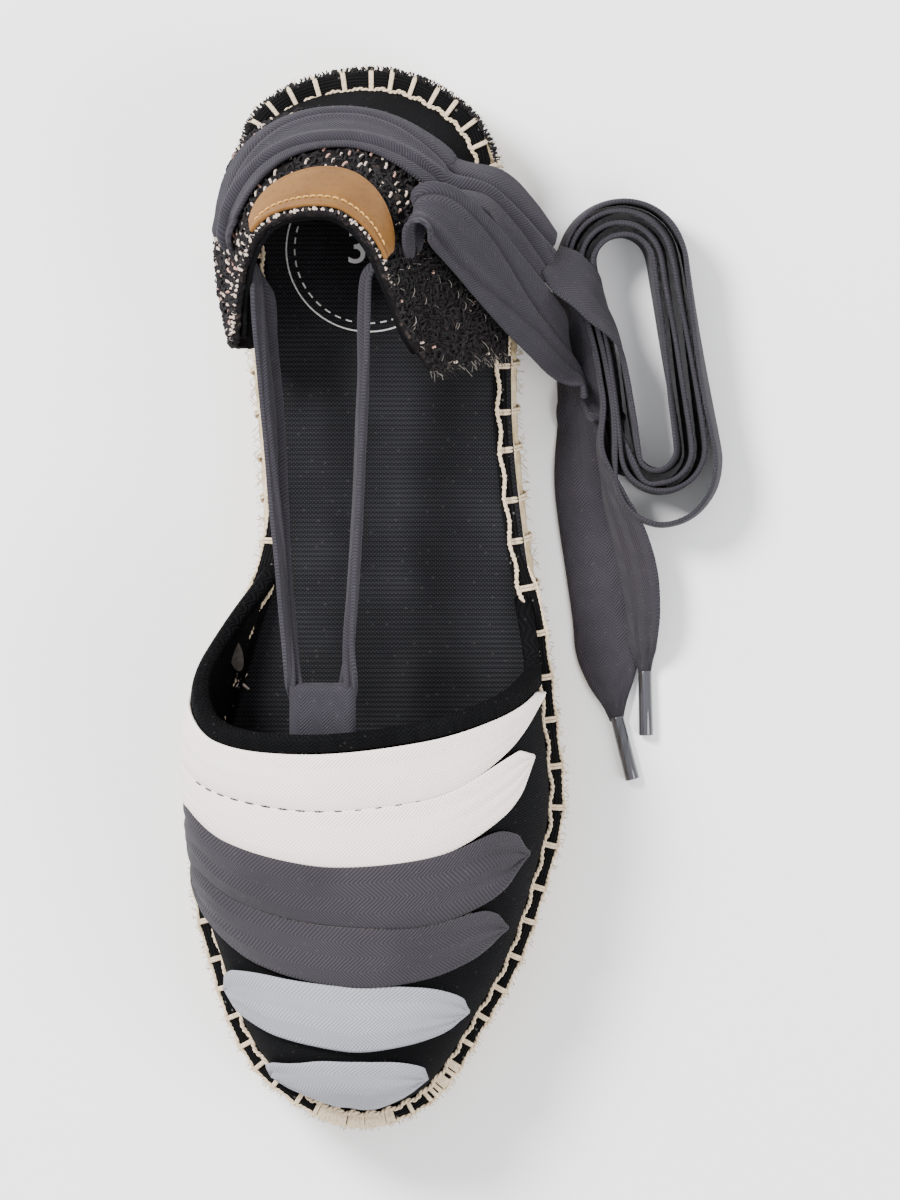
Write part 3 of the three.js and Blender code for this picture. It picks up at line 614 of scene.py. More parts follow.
# %% [markdown]
# The tips are clear plastic sleeves shrunk over the rolled tape: an even cone with bevelled rims.

# %% Plastic tips
TIP_LENGTH = 15.5


def plastic_tip(name, x, y, lean, node):
    maker = bmesh.new()
    bmesh.ops.create_cone(
        maker, cap_ends=True, segments=20, radius1=1.62 * MM, radius2=1.75 * MM, depth=TIP_LENGTH * MM,
        matrix=Matrix.Translation((0, -(TIP_LENGTH / 2 + 0.3) * MM, 0)) @ Matrix.Rotation(pi / 2, 4, "X"),
    )
    rims = [e for e in maker.edges if len(e.link_faces) == 2 and e.calc_face_angle() > 1]
    bmesh.ops.bevel(maker, geom=rims, offset=0.35 * MM, segments=3, affect="EDGES", profile=0.5, material=-1)
    place = Matrix.Translation(Vector((x, y, 1.82)) * MM) @ Matrix.Rotation(lean, 4, "Z")
    bmesh.ops.transform(maker, matrix=place, verts=maker.verts)
    for face in maker.faces:
        face.smooth = True
    return settle(finished_mesh(name, maker), node)


tip_1 = plastic_tip("tip_1", 58.1, -117, 0.25, "aglet_1")
tip_2 = plastic_tip("tip_2", 64.9, -106, 0.02, "aglet_2")
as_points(first_path)
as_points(second_path)

# %% [markdown]
# Between the throat loop and the hank the shoe itself holds the tie: each half runs back from the loop and
# out through a slit near the counter's top, and one half wraps round the back of the heel.

# %% Stretches that the shoe holds
TWEED_LIFT = CANVAS + 0.5
WRAP_LIFT = TWEED_LIFT + TWEED + 0.3 + TAPE / 2
WRAP_STEPS = 18
STRAND_SAG = 4
LOOP_MIDDLE = vamp_point(0, 0.475, -0.3 - BINDING) + Vector((0, BINDING_WIDTH + 4.5, -4.9))


def on_counter(where, up, lift, share):
    wide = (counter_point(where, up + 0.05, lift) - counter_point(where, up - 0.05, lift)).normalized()
    return (counter_point(where, up, lift), wide, share)


def held_strand(where, up, forward, side, inside, tilt):
    """Way of a half through its slit and on to the loop."""
    slit = ((-0.035, WRAP_LIFT + 0.3, 0.6), (-0.012, TWEED_LIFT + TWEED / 2, 0.5), (0.012, 0, 0.5), (0.03, -2.9, 0.45))
    rows = [on_counter(where + forward * onward, up, lift, share) for onward, lift, share in slit]
    end = LOOP_MIDDLE + Vector((side * 6.6, 9.0, 0.6))
    table = []
    for share in (0, 0.2, 0.4, 0.6, 0.8, 0.93):
        p = Vector(inside).lerp(end, share)
        table.append((p.x, p.y, p.z - STRAND_SAG * sin(pi * share), tilt * side, 0, 1, lerp(0.75, 0.45, share)))
    table += [
        (*end, 0.6 * side, 0.1, 0.8, 0.36), (end.x - side * 0.6, end.y - 4, end.z - 0.6, side, 0, 0.2, 0.27),
        (end.x - side * 1.2, end.y - 8, end.z - 0.6, side, 0, 0, 0.25),
    ]
    return rows + route(table)


WRAP_ROWS = [(0.24, 0.78, 0.6), (0.29, 0.72, 0.8), (0.35, 0.62, 0.95), (0.42, 0.54, 1), (0.5, 0.5, 1),
             (0.58, 0.48, 1), (0.66, 0.46, 1), (0.73, 0.42, 1)]
wrap = []
for i in range(WRAP_STEPS + 1):
    where = lerp(0.255, 0.72, i / WRAP_STEPS)
    lift = WRAP_LIFT + 0.2 + 1.6 * (i / WRAP_STEPS) ** 4
    wrap.append(on_counter(where, smooth(WRAP_ROWS, 1, where), lift, smooth(WRAP_ROWS, 2, where)))
inner_way = route([
    (42.4, -8.5, 22.8, -0.4, -0.3, 0.85), (35.5, 0, 31, -0.5, -0.3, 0.8), (28, 7, 38.5, -0.5, -0.3, 0.8),
])
outer_way = route([
    (50.4, -41.5, 8.8, 0, 0, 1), (49, -36, 9.4, 0, 0, 1), (46, -31.5, 13.5, -0.25, -0.3, 0.85),
    (41.5, -26, 24, -0.45, -0.5, 0.6), (36.5, -20.5, 32, -0.6, -0.7, 0.45), (30, -13, 41, -0.6, -0.75, 0.3),
    (23, -5, 50.5, -0.6, -0.75, 0.3), (16.5, 1, 57, -0.45, -0.7, 0.4), (11, 1.5, 60, -0.35, -0.6, 0.5, 0.8),
])
inner_half = inner_way + wrap[::-1] + held_strand(0.2, 0.8, -1, -1, (-25.5, -17, 50.5), 0.42)
outer_half = outer_way + held_strand(0.8, 0.78, 1, 1, (-0.4, -13, 50), 0.12)
loop_turn = [(LOOP_MIDDLE + Vector((side * 7, 0, 0)), Vector((0, 1, 0)), 0.45) for side in (-1, 1)]
held_pieces = [
    lay_tape("tie_held_inner", inner_half, "tie", 1.35)[0], lay_tape("tie_held_outer", outer_half, "tie", 1.0)[0],
    lay_tape("tie_in_loop", loop_turn, "tie")[0],
]
print("held stretches:", len(held_pieces))

# %% [markdown]
# The sole's wall is three courses of braided jute rope. A braid is three strands that swing up and down,
# each a third of a turn behind the last, and dip in and out twice as often. Loose fibres stand off it.

# %% Braided jute
ROPE_PITCH = 15.5
PITCH_STEPS = 14
COURSES = STRANDS = 3
FIBRES = 900
sole_length = sum((SOLE_EDGE[i] - SOLE_EDGE[i - 1]).length for i in range(2 * HALF))
braids = round(sole_length / ROPE_PITCH)
strands = []
for course in range(COURSES):
    level = JUTE_FLOOR + (course + 0.5) * JUTE / COURSES
    for strand in range(STRANDS):
        path = []
        for k in range(braids * PITCH_STEPS):
            swing = 2 * pi * k / PITCH_STEPS + strand * 2 * pi / STRANDS + course * 1.9
            wobble = 0.12 * noise.noise(Vector((k * 0.3, course * 7, strand * 3)))
            p = loop_point(1.75 + wobble - 0.62 * sin(2 * swing), 2 * pi * k / (braids * PITCH_STEPS))
            path.append((p.x, p.y, level + 1.5 * sin(swing) + wobble + spring(p.y)))
        strands.append(path)
rope = thread("jute_braid", strands, 1.22, cyclic=True)

random.seed(11)
fibres = []
for _ in range(FIBRES):
    turn = uniform(0, 2 * pi)
    p, q = loop_point(0.2, turn), loop_point(-1 - random.random() * 0.9, turn + uniform(-0.02, 0.02))
    z = uniform(4, 19) + spring(p.y)
    middle = p.lerp(q, 0.55)
    fibres.append([(p.x, p.y, z), (middle.x, middle.y, z + uniform(-0.6, 0.9)),
                   (q.x, q.y, max(0.5, z + uniform(-1.6, 1.8)))])
fibre_hair = thread("jute_fibres", fibres, 0.07, sides=0)
print("braids round the sole:", braids, "and fibres:", len(fibres))

# %% [markdown]
# Black canvas is turned over the sole's upper edge all round, as one band of cloth that lies a little
# higher where the upper's cloth is under it. Beside the waist it stays back, and the rope shows.

# %% Turned margin
EDGE_SECTION = [(0, 5.3, 0.45), (0.2, 4.3, 0.12), (0.42, 2.8, 0), (0.6, 1.4, -0.1), (0.75, 0.5, -0.65),
                (0.88, 0.1, -1.7), (1, 0.15, -3.2)]


def edge_top(y):
    """Height of the margin's top: low along the bare waist, higher under the vamp and the counter."""
    share = max(clamp((-78 - y) / 9), clamp((y + 34) / 8))
    return lerp(20.9, 22.4, share * share * (3 - 2 * share)) + spring(y)


def bare(p):
    """How far the margin stays back from the edge."""
    if p.x > 0:
        return 1.9 * clamp((p.y + 90) / 12) * clamp((26 - p.y) / 14)
    return 1.2 * clamp((p.y + 80) / 12) * clamp((-18 - p.y) / 12)


def chain_inset(p):
    """Distance of the chain from the edge: close to it where the vamp stands near it."""
    return lerp(4.5, 2.75, clamp((-84 - p.y) / 14))


def margin_place(u, v):
    turn = 2 * pi * u
    ripple = 0.25 * noise.noise(Vector((turn * 14, v * 2, 3.0)))
    back = bare(loop_point(0, turn)) * clamp(v / 0.45)
    p = loop_point(smooth(EDGE_SECTION, 1, v) + ripple + back, turn)
    return Vector((p.x, p.y, edge_top(p.y) + smooth(EDGE_SECTION, 2, v) + ripple))


margin = laid_cloth("turned_margin", 300, 12, margin_place, (sole_length, 9), 0.7, ["vamp", "heel_counter"])
print("margin is", round(sole_length), "mm round")

# %% [markdown]
# A blanket stitch in thick cream cotton holds it all: a chain along the upper, a purl along the very edge
# and a rung about every eight millimetres that runs on down over the jute. The yarn is two plies twisted
# round each other. At the toe the rungs are crowded, and round the heel the cut edge is frayed.

# %% Blanket stitch
STITCH = 8.0
PLY_LAY = 2.7
RUNG_DROP = 7.6
TOE_RUNGS = 26
STITCH_STEPS = 12
FRAYED_ENDS = 700
stitches = round(sole_length / STITCH)


def plied(path, lay, apart):
    """Two plies twisted round a closed path of points."""
    plies = [[], []]
    gone = 0.0
    for i, point in enumerate(path):
        p = Vector(point)
        onward = (Vector(path[(i + 1) % len(path)]) - Vector(path[i - 1])).normalized()
        side = onward.cross(Vector((0, 0, 1))).normalized()
        up = side.cross(onward)
        gone += (p - Vector(path[i - 1])).length if i else 0
        for k in (0, 1):
            angle = gone / lay * 2 * pi + k * pi
            plies[k].append(p + side * (cos(angle) * apart) + up * (sin(angle) * apart))
    return plies


def edge_line(inset, lift, wander, tuck=0.0):
    """Line round the edge that bows at every stitch: inset is a function of the place, and tuck draws the
    line in and down round the heel."""
    path, steps = [], stitches * STITCH_STEPS
    for k in range(steps):
        turn = 2 * pi * k / steps
        beat = cos(2 * pi * stitches * k / steps)
        edge = loop_point(0, turn)
        tucked = tuck * clamp((edge.y - 10) / 12)
        away = inset(edge) + tucked + wander * beat + 0.2 * noise.noise(Vector((k * 0.11, lift, 0)))
        p = loop_point(away, turn)
        path.append((p.x, p.y, edge_top(p.y) + lift - 2.2 * tucked + 0.15 * beat))
    return path


random.seed(5)
chain = plied(edge_line(chain_inset, 0.95, 0.35), PLY_LAY, 0.31)
purl = plied(edge_line(lambda edge: bare(edge) - 0.15, -0.9, -0.3, 1.4), PLY_LAY, 0.26)
rungs = []
turns = [2 * pi * (k + uniform(-0.07, 0.07)) / stitches for k in range(stitches)]
turns += [pi + lerp(-0.2, 0.14, k / (TOE_RUNGS - 1)) + uniform(-0.006, 0.006) for k in range(TOE_RUNGS)]
turns += [pi + uniform(0.33, 0.46) for _ in range(9)]
for turn in turns:
    edge = loop_point(0, turn)
    near, back = chain_inset(edge) / 4.9, bare(edge)
    for shift in (-0.002, 0.004):
        path = []
        for inset, lift in ((5.0, 0.9), (3.9, 0.7), (2.4, 0.62), (1.1, 0.5), (0.2, -0.15), (-0.35, -1.3),
                            (-0.5, -3.0), (-0.45, -5.2), (0.1, -RUNG_DROP)):
            slant = shift + (0.012 * (-lift / RUNG_DROP) if lift < 0 else 0)
            away = inset * near if inset > 1.1 else inset
            away += back * clamp((lift + 3) / 2.85) * clamp((3.9 - inset) / 1.5)
            p = loop_point(away, turn + slant)
            path.append((p.x, p.y, edge_top(p.y) + lift + uniform(-0.06, 0.06)))
        rungs.append(path)
chain_thread = thread("stitch_chain", chain + purl, 0.34, cyclic=True)
rung_thread = thread("stitch_rungs", rungs, 0.36)

random.seed(17)
frayed = []
for _ in range(FRAYED_ENDS):
    turn = random.choice((-1, 1)) * uniform(0, 0.62) ** 1.1
    reach = uniform(0.3, 1.5)
    p, q = loop_point(0.35, turn), loop_point(0.2 - reach, turn + uniform(-0.014, 0.014))
    z = edge_top(p.y) - uniform(0.2, 2.4)
    middle = p.lerp(q, 0.5)
    frayed.append([(p.x, p.y, z), (middle.x, middle.y, z + uniform(0, 0.5)), (q.x, q.y, z - uniform(0, 0.9))])
frayed_edge = thread("frayed_heel_edge", frayed, 0.16, sides=0)
print("stitches:", stitches)

# %% [markdown]
# The insole's cover is black canvas with fine ribs across the foot, pressed a little hollow by the heel.
# A plain white ring and the size number are laid on the heel seat, as thin as a print.

# %% Insole
RING_CENTRE = Vector((-0.8, -6.2))
RING_DASHES = 40
DASH = 2 * pi / RING_DASHES


def hollow(x, y):
    return 0.5 * exp(-(((x + 1) / 24) ** 2) - (((y + 2) / 30) ** 2))


def insole_place(u, v):
    y = lerp(34.6, -212, (1 - cos(pi * v)) / 2)
    x = lerp(across_at(1.4, y, 1), across_at(1.4, y, -1), u)
    return Vector((x, y, INSOLE_TOP - 0.55 - hollow(x, y) + spring(y)))


def ring_arc(radius, first, last, steps=10):
    path = []
    for k in range(steps + 1):
        angle = lerp(first, last, k / steps)
        p = RING_CENTRE + Vector((cos(angle), sin(angle))) * radius
        path.append((p.x, p.y, INSOLE_TOP - hollow(p.x, p.y) + 0.08))
    return path


insole_cover = laid_cloth("insole_cover", 30, 90, insole_place, lambda u, v: insole_place(u, v)[:2], 1.2,
                          "insole")
ring_paths = [ring_arc(19.6, 0, 2 * pi, 90)]
ring_paths += [ring_arc(17.6, k * DASH, (k + 0.55) * DASH, 3) for k in range(RING_DASHES)]
ring_print = thread("printed_ring", ring_paths, 0.2, sides=0)
number = bpy.data.curves.new("size_number", "FONT")
number.body = "39"
number.size = 11 * MM
number.extrude = 0.05 * MM
number.align_x = number.align_y = "CENTER"
number_print = as_mesh("size_number", number)
number_print.data.transform(Matrix.Translation(Vector((*RING_CENTRE, INSOLE_TOP - 0.35)) * MM))
settle(number_print)
print("insole and its print are in")

# %% [markdown]
# The vamp is black canvas drawn over the toe, from the throat's edge down. It is left a little uneven,
# because canvas is never quite taut between its seams. Webbing binds its edge.

# %% Vamp and its bound edge
BINDING_SECTION = [(0, 0.2, 2.3), (0.22, 1.9, 2.35), (0.38, 3.2, 2.15), (0.5, 3.7, 0.75), (0.62, 3.2, -0.65),
                   (0.78, 2.0, -0.8), (1, 0, -0.8)]


def binding_share(across, width):
    return -width / ((1 - smooth(THROAT_ROWS, 1, across)) * LENGTH)


def vamp_place(u, v):
    p = vamp_point(lerp(binding_share(u, 2.4), 1, sin(v * pi / 2)), u, CANVAS / 2)
    return p + Vector((0, 0, 0.22 * noise.noise(p * 0.07) * sin(u * pi)))


def binding_place(u, v):
    across = lerp(0.012, 0.988, u)
    width = smooth(BINDING_SECTION, 1, v)
    return vamp_point(binding_share(across, width), across, smooth(BINDING_SECTION, 2, v))


vamp = laid_cloth("canvas_vamp", 72, 54, vamp_place, (130, 120), CANVAS, "vamp")
binding = laid_cloth("throat_webbing", 110, 12, binding_place, (140, 9), BINDING, "throat_binding")
print("vamp and binding are in")

# %% [markdown]
# Six twill ribbons lie across the vamp, two of each shade. Each is gathered and caught down at its pointed
# ends, so folds run in from the tips: troughs along the crowned ribbon that fade towards its middle.

# %% Ribbons
RIBBON_EDGES = {
    "ribbon_cream_1": [
        (0.07, 0.1, 0.13), (0.13, 0.06, 0.178), (0.2, 0.03, 0.164), (0.3, 0.008, 0.133), (0.5, 0.009, 0.155),
        (0.65, 0.009, 0.145), (0.77, 0.009, 0.088), (0.86, 0.009, 0.04), (0.92, 0.009, 0.018),
    ],
    "ribbon_cream_2": [
        (0.07, 0.24, 0.29), (0.13, 0.203, 0.29), (0.2, 0.174, 0.262), (0.3, 0.143, 0.262), (0.5, 0.165, 0.309),
        (0.65, 0.156, 0.305), (0.76, 0.115, 0.24), (0.81, 0.108, 0.188), (0.84, 0.118, 0.148),
    ],
    "ribbon_dark_1": [
        (0.07, 0.375, 0.405), (0.12, 0.312, 0.428), (0.2, 0.273, 0.41), (0.3, 0.273, 0.422), (0.5, 0.32, 0.472),
        (0.65, 0.317, 0.488), (0.75, 0.29, 0.459), (0.8, 0.314, 0.426), (0.84, 0.352, 0.374),
    ],
    "ribbon_dark_2": [
        (0.09, 0.495, 0.52), (0.13, 0.442, 0.536), (0.2, 0.422, 0.56), (0.3, 0.433, 0.589), (0.5, 0.483, 0.638),
        (0.65, 0.5, 0.632), (0.75, 0.488, 0.597), (0.8, 0.512, 0.564), (0.83, 0.532, 0.548),
    ],
    "ribbon_light_1": [
        (0.1, 0.712, 0.735), (0.14, 0.688, 0.755), (0.2, 0.655, 0.765), (0.3, 0.628, 0.781), (0.5, 0.65, 0.816),
        (0.65, 0.667, 0.803), (0.75, 0.702, 0.78), (0.81, 0.733, 0.745),
    ],
    "ribbon_light_2": [
        (0.08, 0.905, 0.92), (0.14, 0.888, 0.94), (0.22, 0.875, 0.955), (0.4, 0.855, 0.972), (0.6, 0.86, 0.972),
        (0.7, 0.872, 0.95), (0.77, 0.892, 0.908),
    ],
}
RIBBON_OVER = 0.0055
PLEATS = (-0.27, 0.02, 0.26)


def ribbon_point(edges, a, b, lift):
    """Point of a ribbon: a from its upper to its lower edge, b from its inner to its outer tip."""
    across = lerp(edges[0][0], edges[-1][0], b)
    upper, lower = smooth(edges, 1, across) - RIBBON_OVER, smooth(edges, 2, across) + RIBBON_OVER
    taper = max(0.1, clamp(min(b, 1 - b) / 0.05) ** 0.6)
    return vamp_point(lerp(upper, lower, 0.5 + (a - 0.5) * taper), across, lift)


ribbons = []
for index, (ribbon_name, edges) in enumerate(RIBBON_EDGES.items()):

    def ribbon_place(u, v):
        to_tip = min(u, 1 - u)
        gather = exp(-to_tip / 0.13)
        spread = 0.6 + 0.4 * clamp(to_tip / 0.3)
        pleats = 0
        for k, place in enumerate(PLEATS):
            drift = 0.08 * sin(index * 2.3 + k * 1.7 + (u > 0.5) * 2)
            pleats += (0.75 + 0.25 * sin(index * 4 + k * 3)) * trough(v - 0.5 - (place + drift) * spread, 0.085)
        slack = 0.3 * noise.noise(Vector((u * 6, v * 1.4, index * 3.1)))
        crown = 0.7 * sin(v * pi) ** 0.6
        lift = CANVAS + 0.5 + RIBBON / 2 + crown + (0.4 - 0.85 * pleats) * gather + slack
        return ribbon_point(edges, v, u, lift)

    middle_line = [ribbon_point(edges, 0.5, k / 20, 3) for k in range(21)]
    long = sum((there - here).length for here, there in zip(middle_line, middle_line[1:]))
    wide = (ribbon_point(edges, 1, 0.5, 3) - ribbon_point(edges, 0, 0.5, 3)).length
    ribbons.append(laid_cloth(
        ribbon_name + "_twill", 110, 26, ribbon_place, lambda u, v: (v * wide, u * long), RIBBON, ribbon_name,
    ))
print("ribbons:", len(ribbons))

# %% [markdown]
# The ribbons are caught along their meeting edges: short dark stitches between the two cream ones and a
# finer light line between the two dark ones.

# %% Seams between ribbons


def seam(name, shade, lift, pitch, length, radius, first, last):
    upper, lower = RIBBON_EDGES[f"ribbon_{shade}_1"], RIBBON_EDGES[f"ribbon_{shade}_2"]
    paths = []
    count = int(100 * (last - first) / pitch)
    for k in range(count):
        path = []
        for step in range(4):
            at = lerp(first, last, k / count) + length / 100 * step / 3
            p = ribbon_point(upper, 1.0, at, lift).lerp(ribbon_point(lower, 0.0, at, lift), 0.5)
            path.append(p - Vector((0, 0, 0.25 if step in (0, 3) else 0)))
        paths.append(path)
    return thread(name, paths, radius)


dark_seam = seam("seam_between_creams", "cream", 3.0, 3.4, 1.9, 0.15, 0.22, 0.8)
light_seam = seam("seam_between_darks", "dark", 2.85, 2.2, 1.8, 0.06, 0.12, 0.86)
print("seams are in")

# %% [markdown]
# The counter is canvas that stands by itself round the heel. Tweed covers all but its lowest part: pale
# and rose yarns come up out of the dark ground in staggered rows, thickly on the inner side and thinly on
# the outer one.

# %% Counter and tweed
TWEED_FACE = TWEED_LIFT + TWEED
FLECK_COLUMNS, FLECK_ROWS = 78, 10
LOW_FLECKS = 1700
counter = laid_cloth("canvas_counter", 90, 16, lambda u, v: counter_point(lerp(0.012, 0.97, u), 0.985 * v, CANVAS / 2),
                     (160, 44), CANVAS, "heel_counter")


def tweed_point(a, b, lift):
    low = lerp(0.14, 0.3, max(0, sin(a * pi)) ** 1.5)
    return counter_point(a, lerp(low, 1, b), lift)


def tweed_place(u, v):
    middle = TWEED_LIFT + TWEED / 2
    p = tweed_point(u, v, middle)
    return tweed_point(u, v, middle + 0.45 * noise.noise(p * 0.55) + 0.3 * noise.noise(p * 1.3))


tweed = laid_cloth("tweed_band", 150, 34, tweed_place, (160, 34), TWEED, "heel_tweed")


def tweed_frame(a, b, turned):
    """Place on the tweed's face with a way along it, turned from straight round the heel, and the way off."""
    p = tweed_point(a, b, TWEED_FACE)
    across = (tweed_point(a + 0.01, b, TWEED_FACE) - p).normalized()
    up = (tweed_point(a, b + 0.02, TWEED_FACE) - tweed_point(a, b - 0.02, TWEED_FACE)).normalized()
    return p, across * cos(turned) + up * sin(turned), (p - tweed_point(a, b, TWEED_FACE - 1)).normalized()


def fleck(a, b, turned, length, height):
    """A yarn that comes up out of the weave and goes down again."""
    p, along, out = tweed_frame(a, b, turned)
    shares = (0, 0.25, 0.5, 0.75, 1)
    return [p + along * ((s - 0.5) * length) + out * (height * sin(pi * s) - 0.1) for s in shares]


random.seed(3)
pale_flecks, rose_flecks, dark_flecks = [], [], []
for i in range(FLECK_COLUMNS):
    for j in range(FLECK_ROWS):
        a = (i + 0.5 + uniform(-0.2, 0.2)) / FLECK_COLUMNS
        b = (j + 0.25 + 0.5 * (i % 2) + uniform(-0.15, 0.15)) / FLECK_ROWS
        show, length = (0.55, 2.3) if a < 0.3 else (0.5, 1.7) if a < 0.72 else (0.14, 1.1)
        path = fleck(a, b, pi / 2 + uniform(-0.45, 0.45), uniform(0.7, 1.15) * length, 0.55)
        target = dark_flecks if random.random() > show else rose_flecks if random.random() < 0.3 else pale_flecks
        target.append(path)
for _ in range(LOW_FLECKS):
    a, b = uniform(0.005, 0.995), uniform(0.02, 0.99)
    dark_flecks.append(fleck(a, b, uniform(0, pi), uniform(1.2, 2.6), uniform(0.35, 0.9)))
dark_yarn = thread("tweed_dark_yarn", dark_flecks, 0.33, sides=0)
pale_yarn = thread("tweed_pale_yarn", pale_flecks, 0.36, sides=0)
rose_yarn = thread("tweed_rose_yarn", rose_flecks, 0.36, sides=0)
print("tweed flecks:", len(dark_flecks), "dark,", len(pale_flecks), "pale,", len(rose_flecks), "rose")

# %% [markdown]
# The outer wing's nap is brushed up into fine hairs, and its raw front end has a short fringe. Along the
# top edge a cream yarn shows as a row of dots.

# %% Hairs, fringe and top edge
FRINGE = (0, 0.35, 0.7, 1)
WING_HAIRS, FRONT_HAIRS, INNER_HAIRS, EDGE_DOTS = 900, 420, 60, 46
random.seed(21)
dark_fringe, pale_fringe = [], []
for k in range(WING_HAIRS):
    a, b = uniform(0.7, 1) ** 0.8, uniform(0.05, 1)
    p, along, out = tweed_frame(a, b, uniform(0, 2 * pi))
    reach, rise = uniform(1.2, 3.4), uniform(0.3, 1.3)
    path = [p + along * (reach * s) + out * (rise * sin(2.2 * s)) for s in FRINGE]
    (dark_fringe if k % 16 else pale_fringe).append(path)
for k in range(FRONT_HAIRS):
    b = uniform(0.02, 1)
    start = tweed_point(0.985, b, TWEED_LIFT + TWEED * random.random())
    onward = (tweed_point(1, b, TWEED_LIFT) - tweed_point(0.97, b, TWEED_LIFT)).normalized()
    reach = uniform(1.4, 5.6)
    bend = Vector((uniform(-0.4, 0.4), uniform(-0.2, 0.2), uniform(-0.6, 0.1)))
    path = [start + (onward + bend * s) * (reach * s) for s in FRINGE]
    (dark_fringe if k % 3 else pale_fringe).append(path)
for k in range(INNER_HAIRS):
    b = uniform(0.1, 1)
    start = tweed_point(0.02, b, TWEED_LIFT + TWEED / 2)
    onward = (tweed_point(0, b, TWEED_LIFT) - tweed_point(0.03, b, TWEED_LIFT)).normalized()
    reach = uniform(0.8, 2.2)
    dark_fringe.append([start + onward * (reach * s) + Vector((0, 0, -0.3 * s * s)) for s in (0, 0.5, 1)])
fringe = thread("fringe_dark", dark_fringe, 0.09, sides=0)
fringe_pale = thread("fringe_pale", pale_fringe, 0.07, sides=0)
dots = []
for k in range(EDGE_DOTS):
    a = lerp(0.04, 0.8, k / (EDGE_DOTS - 1)) + uniform(-0.003, 0.003)
    dots.append([tweed_point(a + s * 0.003, 0.985, TWEED_FACE + h) for s, h in ((-1, 0), (0, 0.4), (1, 0))])
edge_dots = thread("top_edge_yarn", dots, 0.33)
print("hairs and fringe:", len(dark_fringe) + len(pale_fringe))

# %% [markdown]
# A tab of tan leather is sewn over the top of the heel, its thread in a shallow groove.
# The thread's light gold is partly its own colour and partly a painted highlight along that groove.

# %% Leather tab
TAB_LIFT = TWEED_FACE + 0.5
TAB_STITCHES = 22


def tab_point(a, b, lift):
    low = lerp(0.93, 0.76, max(0, sin(a * pi)) ** 0.7)
    return counter_point(lerp(0.32, 0.73, a), lerp(low, 0.985, b), lift)


def tab_place(u, v):
    groove = 0.3 * trough(v - 0.8, 0.06) + 0.12 * trough(v - 0.1, 0.05)
    return tab_point(u, v, TAB_LIFT + 0.65 - groove + 0.12 * noise.noise(Vector((u * 5, v * 2, 0))))


tab = laid_cloth("leather_tab", 60, 18, tab_place, (60, 10), 1.3, "heel_tab", 1)
tab_paths = []
for k in range(TAB_STITCHES):
    a = lerp(0.06, 0.94, k / TAB_STITCHES)
    ends = ((0, -0.2), (0.25, 0.1), (0.75, 0.1), (1, -0.2))
    tab_paths.append([tab_point(a + s * 0.028, 0.8, TAB_LIFT + 1.15 + h) for s, h in ends])
# The tab thread's light gold is partly thread colour and partly a painted highlight along the groove.
tab_stitches = thread("tab_stitches", tab_paths, 0.24)
print("tab is in")

# %% [markdown]
# The throat loop is a short length of the same tape, folded flat round the tie and sewn under the edge.

# %% Throat loop
LOOP_WIDTH, LOOP_STRAIGHT, LOOP_RADIUS = 15.6, 10.4, 1.75


def loop_place(u, v):
    """The tape runs along the top, round one end, back along the bottom and round the other end."""
    half = LOOP_STRAIGHT + pi * LOOP_RADIUS
    at = v * 2 * half
    side, at = (1, at) if at < half else (-1, at - half)
    angle = max(0, at - LOOP_STRAIGHT) / LOOP_RADIUS
    y = min(at, LOOP_STRAIGHT) - LOOP_STRAIGHT / 2 + LOOP_RADIUS * sin(angle)
    return LOOP_MIDDLE + Vector(((u - 0.5) * LOOP_WIDTH, side * y, side * LOOP_RADIUS * cos(angle)))


loop_tape = laid_cloth("loop_tape", 8, 44, loop_place, (LOOP_WIDTH, 32), 1.1, "throat_loop")
print("loop is in")

# %% [markdown]
# Low down on the lining's inner side a small grey oval of cloth is glued, and a cross of thread shows
# where the ribbons' ends are caught.

# %% Marks on the lining
LINING = -0.45
CROSS_REACH = 2.6
maker = bmesh.new()
bmesh.ops.create_uvsphere(maker, u_segments=28, v_segments=14, radius=MM)
oval_place = Matrix.Translation(last_point(0.55565, 0.16, LINING) * MM)
oval_turn = oval_place @ Matrix.Rotation(0.25, 4, "Z") @ Matrix.Diagonal((1.7, 4.2, 0.4, 1))
bmesh.ops.transform(maker, matrix=oval_turn, verts=maker.verts)
oval = settle(finished_mesh("lining_oval", maker))
cross_middle = last_point(0.58348, 0.03, LINING)
cross_paths = []
for turned in (0.9, -0.7):
    way = Vector((cos(turned), sin(turned), 0)) * CROSS_REACH
    cross_paths.append([cross_middle + way * s + Vector((0, 0, 0.5 - 0.3 * abs(s))) for s in (-1, -0.4, 0.4, 1)])
cross = thread("lining_cross", cross_paths, 0.32)
print("the cross lies at", [round(c) for c in cross_middle])

# %% [markdown]
# Finishes. Each starts from the real thing's colour, then adds what the eye reads as material: the ribs of
# the weave in the cloth's own millimetres, uneven dye, lint and wear. The same masks feed the bump.

# %% Woven cloths
LINT = (150, 146, 142)


def woven(name, colour, paler, gap, rib, column, slant, depth, roughness, lint, sheen=0.05, specular=0.12,
          clouds=0.6, yarns=0.0):
    finish = Finish(name, colour, roughness, sheen, specular)
    weave = finish.use(twill, Vector=finish.uv, Rib=rib, Column=column, Slant=slant)
    handled = finish.use(cloud, Vector=finish.object_place, Scale=55.0)
    finish.tint(finish.ramp(handled["Clouds"], 0.42, 0.72), paler, clouds)
    finish.tint(weave["Ribs"], gap, 0.75)
    finish.tint(handled["Lint"], LINT, lint)
    if yarns:
        finish.tint(finish.ramp(weave["Yarns"], 0.35, 0.95), paler, yarns)
    finish.bump(weave["Ribs"], depth, 0.9)
    finish.bump(weave["Yarns"], depth * 0.3, 0.5)
    finish.bump(finish.noise(130), 0.25, 0.5)
    finish.done()


